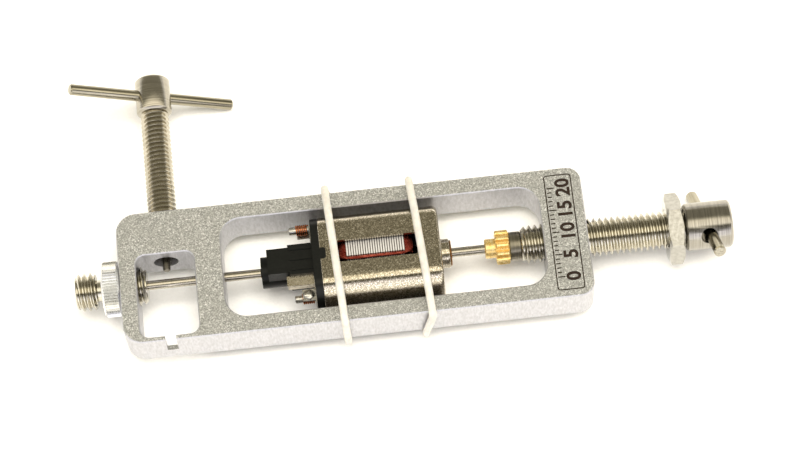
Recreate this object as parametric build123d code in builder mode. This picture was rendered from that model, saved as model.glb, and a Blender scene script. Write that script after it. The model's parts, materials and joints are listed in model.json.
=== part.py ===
"""Pinion press and puller for small motors, with a motor held in it by two elastic bands.

Millimetres. +X runs along the press screw towards its head, +Z is up when the tool lies flat, and
the origin is where the press screw's axis leaves the frame's end face.
"""

import os
from math import atan2, cos, floor, pi, radians, sin, sqrt, tan

from build123d import *

os.makedirs("parts", exist_ok=True)

# Driving dimensions -------------------------------------------------------------------------

# Frame: one milled block with a small window and a long window.
FRAME_LENGTH = 98.0
FRAME_WIDTH = 29.0
FRAME_THICKNESS = 10.0
ANVIL_END_CORNER = 4.2
PRESS_END_CORNER = 3.0
FRAME_EDGE_CHAMFER = 0.2
PRESS_WALL = 9.3
ANVIL_WALL = 3.6
DIVIDER_WALL = 5.8
SIDE_RAIL = 3.5
SMALL_WINDOW_LENGTH = 12.3
SMALL_WINDOW_FRONT_WALL = 1.0
SMALL_WINDOW_BACK_WALL = 9.6
SMALL_WINDOW_CORNER = 2.0
LONG_WINDOW_CORNER = 4.5
NOTCH_WIDTH = 2.3
NOTCH_FLOOR_DEPTH = 5.8

# Threads. The tapped holes are plain bores with a running clearance over the thread's crests.
PRESS_THREAD, PRESS_PITCH = 8.0, 1.25
ANVIL_THREAD, ANVIL_PITCH = 8.0, 1.25
PULLER_THREAD, PULLER_PITCH = 6.0, 1.0
THREAD_CLEARANCE = 0.05
RUNNING_CLEARANCE = 0.03
TOUCH_GAP = 0.05
SMALL_CHAMFER = 0.15

# Press screw, its swivel pad, tommy bar and lock nut.
PRESS_PAD_DIAMETER = 6.0
PRESS_PAD_LENGTH = 2.45
PAD_STEM_DIAMETER = 3.0
PAD_STEM_LENGTH = 4.5
PAD_FACE_TO_WALL = 7.1
PRESS_SCREW_OUTSIDE = 20.4
PRESS_HEAD_DIAMETER = 10.0
PRESS_HEAD_LENGTH = 9.9
HEAD_CHAMFER = 0.5
PRESS_BAR_DIAMETER = 2.5
PRESS_BAR_LENGTH = 25.0
PRESS_BAR_OFFSET = 0.8
PRESS_BAR_ANGLE = 38.5
PRESS_BAR_FROM_SHOULDER = 4.85
PRESS_BAR_LEAN = 5.5
PRESS_BAR_CLEARANCE = 0.55
BAR_END_CHAMFER = 0.25
LOCK_NUT_FLATS = 13.0
LOCK_NUT_THICKNESS = 3.3
LOCK_NUT_ANGLE = 20.5
LOCK_NUT_GAP = 0.45
LOCK_NUT_BEVEL = 0.1
LOCK_NUT_COUNTERSINK = 0.3

# Puller screw across the small window, with its pin and T-bar.
PULLER_TIP_FROM_WINDOW = 3.1
PULLER_HOLE_DIAMETER = 5.2
PULLER_STEP_FROM_WINDOW = 1.5
PULLER_HEAD_FROM_FRAME = 24.6
PULLER_HEAD_DIAMETER = 7.5
PULLER_HEAD_LENGTH = 8.1
PULLER_PIN_DIAMETER = 1.6
PULLER_PIN_REACH = 2.0
PULLER_PIN_SEAT = 4.0
PULLER_BAR_DIAMETER = 2.4
PULLER_BAR_LENGTH = 36.9
PULLER_BAR_OFFSET = 0.4
PULLER_BAR_ANGLE = -26.0
PULLER_BAR_FROM_SHOULDER = 4.15

# Anvil screw with its thumb nut and pin.
ANVIL_INSIDE = 1.9
ANVIL_OUTSIDE = 9.45
ANVIL_NECK_DIAMETER = 4.5
ANVIL_NECK_LENGTH = 1.3
ANVIL_PIN_DIAMETER = 2.0
ANVIL_PIN_SEAT = 5.0
THUMB_NUT_DIAMETER = 11.6
THUMB_NUT_THICKNESS = 3.8
THUMB_NUT_CHAMFER = 0.4
THUMB_NUT_KNURLS = 72
KNURL_DEPTH = 0.18

# Motor: taken as a 130 size, a can with two flats. The diameter and the distance across
# the flats are assumed, and the bend radius was chosen to give the flat its width.
CAN_DIAMETER = 20.4
CAN_ACROSS_FLATS = 15.4
CAN_LENGTH = 25.1
CAN_WALL = 0.8
CAN_EDGE_RADIUS = 0.7
CAN_BEND_RADIUS = 3.0
CAN_WINDOW_LENGTH = 16.4
CAN_WINDOW_WIDTH = 4.8
CAN_WINDOW_FROM_REAR = 3.8
CAN_BOSS_DIAMETER = 6.1
CAN_BOSS_LENGTH = 1.9
CAN_BOSS_RADIUS = 0.4
CAN_WINDOW_CORNER = 0.4
TAB_WIDTH = 2.5
TAB_LENGTH = 1.2
SHAFT_DIAMETER = 2.0
SHAFT_FREE_LENGTH = 7.3
SHAFT_INSIDE_PINION = 0.3
BEARING_DIAMETER = 4.6
REAR_BEARING_LENGTH = 2.4
REAR_BEARING_SEAT = 0.4
FLANGE_THICKNESS = 1.6
PLUG_DEPTH = 1.6
PLUG_CLEARANCE = 0.02
FLANGE_INSET = 0.1
# Length along the motor, width, and height of the top above the shaft's axis.
STEP_BLOCK = (5.1, 6.7, 5.8)
NOSE_BLOCK = (4.45, 5.6, 5.75)
REAR_BOSS_DIAMETER = 6.6
REAR_BOSS_LENGTH = 1.5
SHAFT_HOLE_CLEARANCE = 0.2
RIB_HEIGHT = 0.25
RIB_WIDTH = 0.45
RIB_SETBACK = 0.3
BRUSH_BORE_DIAMETER = 5.2

# Rotor.
AIR_GAP = 0.65
STACK_LENGTH = 12.2
STACK_FROM_REAR = 5.4
POLES = 3
POLE_SHOE = 1.0
POLE_STEM = 2.4
POLE_GAP = 1.6
STACK_HUB_DIAMETER = 4.8
COIL_OVERHANG = 1.9
COIL_CLEARANCE = 0.06
ROTOR_ANGLE = 43.5
COMMUTATOR_DIAMETER = 4.2
COMMUTATOR_LENGTH = 4.0
SEGMENT_SLOT = 0.4
WASHER_DIAMETER = 3.8
WASHER_THICKNESS = 0.4
MAGNET_THICKNESS = 2.2
MAGNET_LENGTH = 18.0
MAGNET_HEIGHT = 11.0
MAGNET_CLEARANCE = 0.05

# Brush gear, terminals and chokes behind the flange.
# Length along the motor, and height.
BRUSH_SIZE = (1.6, 1.8)
HOLDER_SHEET = 0.35
HOLDER_LENGTH = 5.6
# Height of the top above the shaft's axis, and the flange's reach: front, then back.
FRONT_HOLDER = (4.9, 2.15)
BACK_HOLDER = (2.0, 0.6)
HOLDER_GAP = 0.2
# Length along the motor, width and sheet thickness; then sheet, width and height.
LUG_SIZE = (2.6, 2.4, 0.5)
TERMINAL_PLATE = (0.3, 3.4, 3.6)
LUG_FROM_AXIS = 7.2
FRONT_LUG_HEIGHT = 3.0
BACK_LUG_HEIGHT = 1.85
CHOKE_CORE_DIAMETER = 1.6
CHOKE_CORE_LENGTH = 4.2
CHOKE_COIL_DIAMETER = 2.5
CHOKE_COIL_LENGTH = 2.8
CHOKE_FROM_AXIS = 7.3
FRONT_CHOKE_HEIGHT = 1.4

# Pinion.
PINION_TEETH = 12
PINION_DIAMETER = 7.2
PINION_ROOT_DIAMETER = 4.9
PINION_FACE = 2.85
PINION_HUB_DIAMETER = 4.1
PINION_HUB_LENGTH = 2.25
# Half of a tooth's thickness at its root and at its tip, as a share of one tooth's turn.
TOOTH_ROOT_SHARE = 0.36
TOOTH_TIP_SHARE = 0.11

# Elastic bands.
BAND_DIAMETER = 1.65
BAND_CLEARANCE = 0.04
LEFT_BAND_FROM_CAN_REAR = 3.2
LEFT_BAND_SKEW = 2.6
RIGHT_BAND_FROM_CAN_REAR = 20.9
RIGHT_BAND_SKEW = 3.6

# Stations along X ---------------------------------------------------------------------------

LEFT_FACE = -FRAME_LENGTH
SMALL_WINDOW_START = LEFT_FACE + ANVIL_WALL
SMALL_WINDOW_END = SMALL_WINDOW_START + SMALL_WINDOW_LENGTH
LONG_WINDOW_START = SMALL_WINDOW_END + DIVIDER_WALL
LONG_WINDOW_END = -PRESS_WALL
PULLER_X = (SMALL_WINDOW_START + SMALL_WINDOW_END) / 2

PAD_FACE = LONG_WINDOW_END - PAD_FACE_TO_WALL
PRESS_TIP = PAD_FACE + PRESS_PAD_LENGTH
PRESS_SHOULDER = PRESS_SCREW_OUTSIDE
PRESS_END = PRESS_SHOULDER + PRESS_HEAD_LENGTH
PRESS_BAR_X = PRESS_SHOULDER + PRESS_BAR_FROM_SHOULDER

PINION_END = PAD_FACE - TOUCH_GAP
PINION_STEP = PINION_END - PINION_FACE
PINION_START = PINION_STEP - PINION_HUB_LENGTH
BOSS_FACE = PINION_START - SHAFT_FREE_LENGTH
CAN_FRONT = BOSS_FACE - CAN_BOSS_LENGTH
CAN_REAR = CAN_FRONT - CAN_LENGTH
FLANGE_REAR = CAN_REAR - FLANGE_THICKNESS
STEP_REAR = FLANGE_REAR - STEP_BLOCK[0]
NOSE_REAR = STEP_REAR - NOSE_BLOCK[0]
MOTOR_REAR = NOSE_REAR - REAR_BOSS_LENGTH

ANVIL_TIP = MOTOR_REAR - TOUCH_GAP
ANVIL_SCREW_INNER = SMALL_WINDOW_START + ANVIL_INSIDE
ANVIL_SCREW_OUTER = LEFT_FACE - ANVIL_OUTSIDE
THUMB_NUT_OUTER = LEFT_FACE - TOUCH_GAP - THUMB_NUT_THICKNESS
ANVIL_NECK_OUTER = THUMB_NUT_OUTER - ANVIL_NECK_LENGTH

# Stations along Y for the puller.
BACK_FACE = FRAME_WIDTH / 2
FRONT_FACE = -FRAME_WIDTH / 2
SMALL_WINDOW_BACK = BACK_FACE - SMALL_WINDOW_BACK_WALL
PULLER_TIP = SMALL_WINDOW_BACK + PULLER_TIP_FROM_WINDOW
PULLER_SHOULDER = BACK_FACE + PULLER_HEAD_FROM_FRAME
PULLER_BAR_Y = PULLER_SHOULDER + PULLER_BAR_FROM_SHOULDER


def thread_outline(start, end, diameter, pitch):
    """Half outline of a thread as rings between two stations: 60 degree flanks, flat crests."""
    crest = diameter / 2
    depth = 0.6134 * pitch
    root = crest - depth
    flank = depth * tan(radians(30))
    top = pitch / 8
    turns = floor((end - start) / pitch)
    first = start + (end - start - turns * pitch) / 2
    points = [(start, root)]
    for turn in range(turns):
        middle = first + (turn + 0.5) * pitch
        points += [
            (middle - top / 2 - flank, root),
            (middle - top / 2, crest),
            (middle + top / 2, crest),
            (middle + top / 2 + flank, root),
        ]
    return points + [(end, root)]


def save(part, name):
    """Label a finished piece and write its STEP file."""
    part.label = name
    export_step(part, f"parts/{name}.step")


# Frame --------------------------------------------------------------------------------------

frame_middle = (LEFT_FACE / 2, 0)
small_window_width = FRAME_WIDTH - SMALL_WINDOW_BACK_WALL - SMALL_WINDOW_FRONT_WALL
small_window_middle = (
    (SMALL_WINDOW_START + SMALL_WINDOW_END) / 2,
    (SMALL_WINDOW_BACK + FRONT_FACE + SMALL_WINDOW_FRONT_WALL) / 2,
)
long_window_length = LONG_WINDOW_END - LONG_WINDOW_START
long_window_middle = ((LONG_WINDOW_START + LONG_WINDOW_END) / 2, 0)
long_window_width = FRAME_WIDTH - 2 * SIDE_RAIL

with BuildPart() as frame:
    with BuildSketch(Plane.XY.offset(-FRAME_THICKNESS / 2)) as frame_outline:
        with Locations(frame_middle):
            Rectangle(FRAME_LENGTH, FRAME_WIDTH)
        fillet(frame_outline.vertices().group_by(Axis.X)[0], radius=ANVIL_END_CORNER)
        fillet(frame_outline.vertices().group_by(Axis.X)[-1], radius=PRESS_END_CORNER)
        with Locations(small_window_middle):
            RectangleRounded(
                SMALL_WINDOW_LENGTH, small_window_width, SMALL_WINDOW_CORNER, mode=Mode.SUBTRACT
            )
        with Locations(long_window_middle):
            RectangleRounded(
                long_window_length, long_window_width, LONG_WINDOW_CORNER, mode=Mode.SUBTRACT
            )
    extrude(amount=FRAME_THICKNESS)
    flat_faces = frame.faces().filter_by(Axis.Z)
    chamfer(flat_faces.edges(), length=FRAME_EDGE_CHAMFER)
    # Notch through the thin front wall, open at the top, for a motor shaft.
    with BuildSketch(Plane.XY.offset(FRAME_THICKNESS / 2 - NOTCH_FLOOR_DEPTH)):
        with Locations((PULLER_X, FRONT_FACE + SMALL_WINDOW_FRONT_WALL / 2)):
            Rectangle(NOTCH_WIDTH, 3 * SMALL_WINDOW_FRONT_WALL)
    extrude(amount=NOTCH_FLOOR_DEPTH, mode=Mode.SUBTRACT)
    # Press bore, anvil bore and the anvil pin's guide through the divider, all on the X axis.
    with BuildSketch(Plane.YZ.offset(LONG_WINDOW_END)):
        Circle(PRESS_THREAD / 2 + THREAD_CLEARANCE)
    extrude(amount=PRESS_WALL, mode=Mode.SUBTRACT)
    with BuildSketch(Plane.YZ.offset(LEFT_FACE)):
        Circle(ANVIL_THREAD / 2 + THREAD_CLEARANCE)
    extrude(amount=ANVIL_WALL + SMALL_WINDOW_CORNER, mode=Mode.SUBTRACT)
    with BuildSketch(Plane.YZ.offset(SMALL_WINDOW_END)):
        Circle(ANVIL_PIN_DIAMETER / 2 + THREAD_CLEARANCE)
    extrude(amount=DIVIDER_WALL, mode=Mode.SUBTRACT)
    # Puller bore from the back face, stepped down before it reaches the small window.
    puller_plane = Plane(origin=(PULLER_X, BACK_FACE, 0), x_dir=(1, 0, 0), z_dir=(0, -1, 0))
    with BuildSketch(puller_plane):
        Circle(PULLER_THREAD / 2 + THREAD_CLEARANCE)
    extrude(amount=SMALL_WINDOW_BACK_WALL - PULLER_STEP_FROM_WINDOW, mode=Mode.SUBTRACT)
    with BuildSketch(puller_plane):
        Circle(PULLER_HOLE_DIAMETER / 2)
    extrude(amount=SMALL_WINDOW_BACK_WALL, mode=Mode.SUBTRACT)
save(frame.part, "frame")

# Press screw --------------------------------------------------------------------------------

# The cross hole is square to the screw, and the slack bar leans in it towards the head's end.
press_hole_axis = Vector(0, -cos(radians(PRESS_BAR_ANGLE)), sin(radians(PRESS_BAR_ANGLE)))
press_hole_plane = Plane(origin=(PRESS_BAR_X, 0, 0), x_dir=(1, 0, 0), z_dir=press_hole_axis)
press_bar_axis = press_hole_axis * cos(radians(PRESS_BAR_LEAN)) + Vector(
    sin(radians(PRESS_BAR_LEAN)), 0, 0
)
press_bar_plane = Plane(origin=(PRESS_BAR_X, 0, 0), z_dir=press_bar_axis)
pad_stem_bore = PAD_STEM_DIAMETER / 2 + RUNNING_CLEARANCE
pad_stem_bore_depth = PAD_STEM_LENGTH + 2 * TOUCH_GAP
press_screw_tip = PRESS_TIP + TOUCH_GAP

with BuildPart() as press_screw:
    with BuildSketch(Plane.XZ):
        with BuildLine():
            head_radius = PRESS_HEAD_DIAMETER / 2
            Polyline(
                (press_screw_tip, 0),
                *thread_outline(press_screw_tip, PRESS_SHOULDER, PRESS_THREAD, PRESS_PITCH),
                (PRESS_SHOULDER, head_radius - HEAD_CHAMFER),
                (PRESS_SHOULDER + HEAD_CHAMFER, head_radius),
                (PRESS_END - HEAD_CHAMFER, head_radius),
                (PRESS_END, head_radius - HEAD_CHAMFER),
                (PRESS_END, 0),
                close=True,
            )
        make_face()
    revolve(axis=Axis.X)
    with BuildSketch(Plane.YZ.offset(press_screw_tip)):
        Circle(pad_stem_bore)
    extrude(amount=pad_stem_bore_depth, mode=Mode.SUBTRACT)
    with BuildSketch(press_hole_plane):
        Circle(PRESS_BAR_DIAMETER / 2 + PRESS_BAR_CLEARANCE)
    extrude(amount=PRESS_HEAD_DIAMETER, both=True, mode=Mode.SUBTRACT)
save(press_screw.part, "press_screw")

with BuildPart() as press_pad:
    with BuildSketch(Plane.YZ.offset(PAD_FACE)):
        Circle(PRESS_PAD_DIAMETER / 2)
    extrude(amount=PRESS_PAD_LENGTH)
    chamfer(press_pad.edges().filter_by(GeomType.CIRCLE), length=SMALL_CHAMFER)
    with BuildSketch(Plane.YZ.offset(PRESS_TIP)):
        Circle(PAD_STEM_DIAMETER / 2)
    extrude(amount=PAD_STEM_LENGTH)
save(press_pad.part, "press_pad")

with BuildPart() as press_tommy_bar:
    with BuildSketch(press_bar_plane.offset(-PRESS_BAR_LENGTH / 2 - PRESS_BAR_OFFSET)):
        Circle(PRESS_BAR_DIAMETER / 2)
    extrude(amount=PRESS_BAR_LENGTH)
    chamfer(press_tommy_bar.edges().filter_by(GeomType.CIRCLE), length=BAR_END_CHAMFER)
save(press_tommy_bar.part, "press_tommy_bar")

lock_nut_end = PRESS_SHOULDER - LOCK_NUT_GAP
lock_nut_start = lock_nut_end - LOCK_NUT_THICKNESS
nut_corner_radius = LOCK_NUT_FLATS / 2 / cos(radians(30))
with BuildPart() as lock_nut:
    with BuildSketch(Plane.YZ.offset(lock_nut_start)):
        RegularPolygon(nut_corner_radius, 6, rotation=LOCK_NUT_ANGLE)
    extrude(amount=LOCK_NUT_THICKNESS)
    # The cone that bevels a nut's corners on both faces.
    bevel = (nut_corner_radius - LOCK_NUT_FLATS / 2) * tan(radians(30))
    flat_radius = LOCK_NUT_FLATS / 2 - LOCK_NUT_BEVEL
    with BuildSketch(Plane.XZ):
        with BuildLine():
            Polyline(
                (lock_nut_start, 0),
                (lock_nut_start, flat_radius),
                (lock_nut_start + bevel, nut_corner_radius + LOCK_NUT_BEVEL),
                (lock_nut_end - bevel, nut_corner_radius + LOCK_NUT_BEVEL),
                (lock_nut_end, flat_radius),
                (lock_nut_end, 0),
                close=True,
            )
        make_face()
    revolve(axis=Axis.X, mode=Mode.INTERSECT)
    with BuildSketch(Plane.YZ.offset(lock_nut_start)):
        Circle(PRESS_THREAD / 2 + THREAD_CLEARANCE)
    extrude(amount=LOCK_NUT_THICKNESS, mode=Mode.SUBTRACT)
    bore_edges = lock_nut.edges().filter_by(GeomType.CIRCLE).sort_by(SortBy.RADIUS)[:2]
    chamfer(bore_edges, length=LOCK_NUT_COUNTERSINK)
save(lock_nut.part, "lock_nut")

# Puller screw -------------------------------------------------------------------------------

# A plane whose local x runs along +Y and whose local y runs up, for turned profiles on the
# puller's axis.
puller_turning = Plane(origin=(PULLER_X, 0, 0), x_dir=(0, 1, 0), z_dir=(1, 0, 0))
puller_axis = Axis((PULLER_X, 0, 0), (0, 1, 0))
puller_bar_axis = Vector(cos(radians(PULLER_BAR_ANGLE)), 0, sin(radians(PULLER_BAR_ANGLE)))
puller_bar_plane = Plane(
    origin=(PULLER_X, PULLER_BAR_Y, 0), x_dir=(0, 1, 0), z_dir=puller_bar_axis
)
puller_end = PULLER_SHOULDER + PULLER_HEAD_LENGTH


def across(station):
    """Plane across the puller's axis at a station along +Y, facing +Y."""
    return Plane(origin=(PULLER_X, station, 0), x_dir=(1, 0, 0), z_dir=(0, 1, 0))


with BuildPart() as puller_screw:
    with BuildSketch(puller_turning):
        with BuildLine():
            head_radius = PULLER_HEAD_DIAMETER / 2
            Polyline(
                (PULLER_TIP, 0),
                *thread_outline(PULLER_TIP, PULLER_SHOULDER, PULLER_THREAD, PULLER_PITCH),
                (PULLER_SHOULDER, head_radius - HEAD_CHAMFER),
                (PULLER_SHOULDER + HEAD_CHAMFER, head_radius),
                (puller_end - HEAD_CHAMFER, head_radius),
                (puller_end, head_radius - HEAD_CHAMFER),
                (puller_end, 0),
                close=True,
            )
        make_face()
    revolve(axis=puller_axis)
    with BuildSketch(across(PULLER_TIP)):
        Circle(PULLER_PIN_DIAMETER / 2 + RUNNING_CLEARANCE)
    extrude(amount=PULLER_PIN_SEAT + TOUCH_GAP, mode=Mode.SUBTRACT)
    with BuildSketch(puller_bar_plane):
        Circle(PULLER_BAR_DIAMETER / 2)
    extrude(amount=PULLER_HEAD_DIAMETER, both=True, mode=Mode.SUBTRACT)
save(puller_screw.part, "puller_screw")

with BuildPart() as puller_pin:
    pin_tip = SMALL_WINDOW_BACK - PULLER_PIN_REACH
    with BuildSketch(across(pin_tip)):
        Circle(PULLER_PIN_DIAMETER / 2)
    extrude(amount=PULLER_TIP + PULLER_PIN_SEAT - pin_tip)
    chamfer(puller_pin.edges().filter_by(GeomType.CIRCLE), length=SMALL_CHAMFER)
save(puller_pin.part, "puller_pin")

with BuildPart() as puller_tommy_bar:
    with BuildSketch(puller_bar_plane.offset(-PULLER_BAR_LENGTH / 2 - PULLER_BAR_OFFSET)):
        Circle(PULLER_BAR_DIAMETER / 2)
    extrude(amount=PULLER_BAR_LENGTH)
    chamfer(puller_tommy_bar.edges().filter_by(GeomType.CIRCLE), length=BAR_END_CHAMFER)
save(puller_tommy_bar.part, "puller_tommy_bar")

# Anvil screw --------------------------------------------------------------------------------

with BuildPart() as anvil_screw:
    with BuildSketch(Plane.XZ):
        with BuildLine():
            neck_radius = ANVIL_NECK_DIAMETER / 2
            Polyline(
                (ANVIL_SCREW_OUTER, 0),
                *thread_outline(ANVIL_SCREW_OUTER, ANVIL_NECK_OUTER, ANVIL_THREAD, ANVIL_PITCH),
                (ANVIL_NECK_OUTER, neck_radius),
                (THUMB_NUT_OUTER, neck_radius),
                *thread_outline(THUMB_NUT_OUTER, ANVIL_SCREW_INNER, ANVIL_THREAD, ANVIL_PITCH),
                (ANVIL_SCREW_INNER, 0),
                close=True,
            )
        make_face()
    revolve(axis=Axis.X)
    with BuildSketch(Plane.YZ.offset(ANVIL_SCREW_INNER - ANVIL_PIN_SEAT - TOUCH_GAP)):
        Circle(ANVIL_PIN_DIAMETER / 2 + RUNNING_CLEARANCE)
    extrude(amount=ANVIL_PIN_SEAT + 2 * TOUCH_GAP, mode=Mode.SUBTRACT)
save(anvil_screw.part, "anvil_screw")

with BuildPart() as anvil_pin:
    with BuildSketch(Plane.YZ.offset(ANVIL_SCREW_INNER - ANVIL_PIN_SEAT)):
        Circle(ANVIL_PIN_DIAMETER / 2)
    extrude(amount=ANVIL_TIP - ANVIL_SCREW_INNER + ANVIL_PIN_SEAT)
    chamfer(anvil_pin.edges().filter_by(GeomType.CIRCLE), length=SMALL_CHAMFER)
save(anvil_pin.part, "anvil_pin")

with BuildPart() as thumb_nut:
    with BuildSketch(Plane.YZ.offset(THUMB_NUT_OUTER)):
        Circle(THUMB_NUT_DIAMETER / 2)
    extrude(amount=THUMB_NUT_THICKNESS)
    chamfer(thumb_nut.edges().filter_by(GeomType.CIRCLE), length=THUMB_NUT_CHAMFER)
    with BuildSketch(Plane.YZ.offset(THUMB_NUT_OUTER)):
        with PolarLocations(THUMB_NUT_DIAMETER / 2, THUMB_NUT_KNURLS):
            RegularPolygon(KNURL_DEPTH, 4)
        Circle(ANVIL_THREAD / 2 + THREAD_CLEARANCE)
    extrude(amount=THUMB_NUT_THICKNESS, mode=Mode.SUBTRACT)
save(thumb_nut.part, "thumb_nut")

# Motor can and end bell ---------------------------------------------------------------------

flat_height = CAN_ACROSS_FLATS / 2
can_inner_radius = CAN_DIAMETER / 2 - CAN_WALL
window_middle = CAN_REAR + CAN_WINDOW_FROM_REAR + CAN_WINDOW_LENGTH / 2
front_bearing_length = CAN_WALL + CAN_BOSS_LENGTH


def two_flats(inset):
    """Can's outline drawn in by an inset: round, bent to a flat at the top and the bottom."""
    Circle(CAN_DIAMETER / 2 - inset)
    Rectangle(CAN_DIAMETER, CAN_ACROSS_FLATS - 2 * inset, mode=Mode.INTERSECT)
    fillet(vertices(), radius=CAN_BEND_RADIUS - inset)


with BuildPart() as motor_can:
    with BuildSketch(Plane.YZ.offset(CAN_REAR)):
        two_flats(0)
    extrude(amount=CAN_LENGTH)
    fillet(motor_can.faces().sort_by(Axis.X)[-1].edges(), radius=CAN_EDGE_RADIUS)
    with BuildSketch(Plane.YZ.offset(CAN_FRONT)):
        Circle(CAN_BOSS_DIAMETER / 2)
    extrude(amount=CAN_BOSS_LENGTH)
    boss_edges = motor_can.faces().sort_by(Axis.X)[-1].edges().filter_by(GeomType.CIRCLE)
    fillet(boss_edges, radius=CAN_BOSS_RADIUS)
    with BuildSketch(Plane.YZ.offset(CAN_REAR)):
        two_flats(CAN_WALL)
    extrude(amount=CAN_LENGTH - CAN_WALL, mode=Mode.SUBTRACT)
    with BuildSketch(Plane.YZ.offset(CAN_FRONT - CAN_WALL)):
        Circle(BEARING_DIAMETER / 2)
    extrude(amount=front_bearing_length, mode=Mode.SUBTRACT)
    # Windows in both flats, and a notch at the rear of each for the end bell's tabs.
    with BuildSketch(Plane.XY.offset(-flat_height)):
        with Locations((window_middle, 0)):
            RectangleRounded(CAN_WINDOW_LENGTH, CAN_WINDOW_WIDTH, CAN_WINDOW_CORNER)
        with Locations((CAN_REAR + TAB_LENGTH / 2, 0)):
            Rectangle(TAB_LENGTH, TAB_WIDTH)
    extrude(amount=CAN_ACROSS_FLATS, mode=Mode.SUBTRACT)
save(motor_can.part, "motor_can")

rear_bearing_start = MOTOR_REAR + REAR_BEARING_SEAT
bore_start = rear_bearing_start + REAR_BEARING_LENGTH
brush_middle = STEP_REAR + STEP_BLOCK[0] / 2
brush_length, brush_height = BRUSH_SIZE

with BuildPart() as motor_endbell:
    with BuildSketch(Plane.YZ.offset(FLANGE_REAR)):
        two_flats(FLANGE_INSET)
    extrude(amount=FLANGE_THICKNESS)
    with BuildSketch(Plane.YZ.offset(CAN_REAR)):
        two_flats(CAN_WALL + PLUG_CLEARANCE)
    extrude(amount=PLUG_DEPTH)
    # Tabs that lock into the can's notches.
    with BuildSketch(Plane.XY.offset(-flat_height + FLANGE_INSET)):
        with Locations((CAN_REAR + (TAB_LENGTH - PLUG_CLEARANCE) / 2, 0)):
            Rectangle(TAB_LENGTH - PLUG_CLEARANCE, TAB_WIDTH - 2 * PLUG_CLEARANCE)
    extrude(amount=CAN_ACROSS_FLATS - 2 * FLANGE_INSET)
    # Stepped block over the brushes, raised above the axis, and the round bearing boss.
    with BuildSketch(Plane.YZ.offset(STEP_REAR)):
        Circle(REAR_BOSS_DIAMETER / 2)
        with Locations((0, STEP_BLOCK[2] / 2)):
            Rectangle(STEP_BLOCK[1], STEP_BLOCK[2])
        with Locations((0, -REAR_BOSS_DIAMETER / 4)):
            Rectangle(STEP_BLOCK[1], REAR_BOSS_DIAMETER / 2)
    extrude(amount=STEP_BLOCK[0])
    with BuildSketch(Plane.YZ.offset(NOSE_REAR)):
        Circle(REAR_BOSS_DIAMETER / 2)
        with Locations((0, NOSE_BLOCK[2] / 2)):
            Rectangle(NOSE_BLOCK[1], NOSE_BLOCK[2])
    extrude(amount=NOSE_BLOCK[0])
    with BuildSketch(Plane.YZ.offset(MOTOR_REAR)):
        Circle(REAR_BOSS_DIAMETER / 2)
    extrude(amount=REAR_BOSS_LENGTH)
    # Ribs along the top of the stepped block.
    with BuildSketch(Plane.XY.offset(STEP_BLOCK[2])):
        with Locations((brush_middle, 0)):
            with GridLocations(0, STEP_BLOCK[1] / 3, 1, 3):
                Rectangle(STEP_BLOCK[0] - 2 * RIB_SETBACK, RIB_WIDTH)
    extrude(amount=RIB_HEIGHT)
    # Bearing seat, commutator space and the shaft's way through.
    with BuildSketch(Plane.YZ.offset(MOTOR_REAR)):
        Circle(SHAFT_DIAMETER / 2 + SHAFT_HOLE_CLEARANCE)
    extrude(amount=REAR_BEARING_LENGTH, mode=Mode.SUBTRACT)
    with BuildSketch(Plane.YZ.offset(rear_bearing_start)):
        Circle(BEARING_DIAMETER / 2)
    extrude(amount=REAR_BEARING_LENGTH, mode=Mode.SUBTRACT)
    with BuildSketch(Plane.YZ.offset(bore_start)):
        Circle(BRUSH_BORE_DIAMETER / 2)
    extrude(amount=CAN_REAR + PLUG_DEPTH - bore_start, mode=Mode.SUBTRACT)
    # Pockets that carry the brushes in from both sides.
    with BuildSketch(Plane.XZ.offset(-STEP_BLOCK[1] / 2)):
        with Locations((brush_middle, 0)):
            Rectangle(brush_length + 2 * PLUG_CLEARANCE, brush_height + 2 * PLUG_CLEARANCE)
    extrude(amount=STEP_BLOCK[1], mode=Mode.SUBTRACT)
save(motor_endbell.part, "motor_endbell")

bearing_bore = SHAFT_DIAMETER / 2 + RUNNING_CLEARANCE
for name, start, length in (
    ("bearing_front", CAN_FRONT - CAN_WALL, front_bearing_length),
    ("bearing_rear", rear_bearing_start, REAR_BEARING_LENGTH),
):
    with BuildPart() as bearing:
        with BuildSketch(Plane.YZ.offset(start)):
            Circle(BEARING_DIAMETER / 2)
            Circle(bearing_bore, mode=Mode.SUBTRACT)
        extrude(amount=length)
    save(bearing.part, name)

stack_start = CAN_REAR + STACK_FROM_REAR
stack_end = stack_start + STACK_LENGTH
magnet_outer = can_inner_radius - MAGNET_CLEARANCE
for name, side in (("magnet_back", 1), ("magnet_front", -1)):
    with BuildPart() as magnet:
        magnet_start = stack_start + STACK_LENGTH / 2 - MAGNET_LENGTH / 2
        with BuildSketch(Plane.YZ.offset(magnet_start)):
            Circle(magnet_outer)
            Circle(magnet_outer - MAGNET_THICKNESS, mode=Mode.SUBTRACT)
            with Locations((side * magnet_outer / 2, 0)):
                Rectangle(magnet_outer, MAGNET_HEIGHT, mode=Mode.INTERSECT)
        extrude(amount=MAGNET_LENGTH)
    save(magnet.part, name)

# Rotor --------------------------------------------------------------------------------------

shaft_start = MOTOR_REAR
shaft_end = PINION_END - SHAFT_INSIDE_PINION
with BuildPart() as rotor_shaft:
    with BuildSketch(Plane.YZ.offset(shaft_start)):
        Circle(SHAFT_DIAMETER / 2)
    extrude(amount=shaft_end - shaft_start)
    chamfer(rotor_shaft.edges().filter_by(GeomType.CIRCLE), length=SMALL_CHAMFER)
save(rotor_shaft.part, "rotor_shaft")

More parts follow.
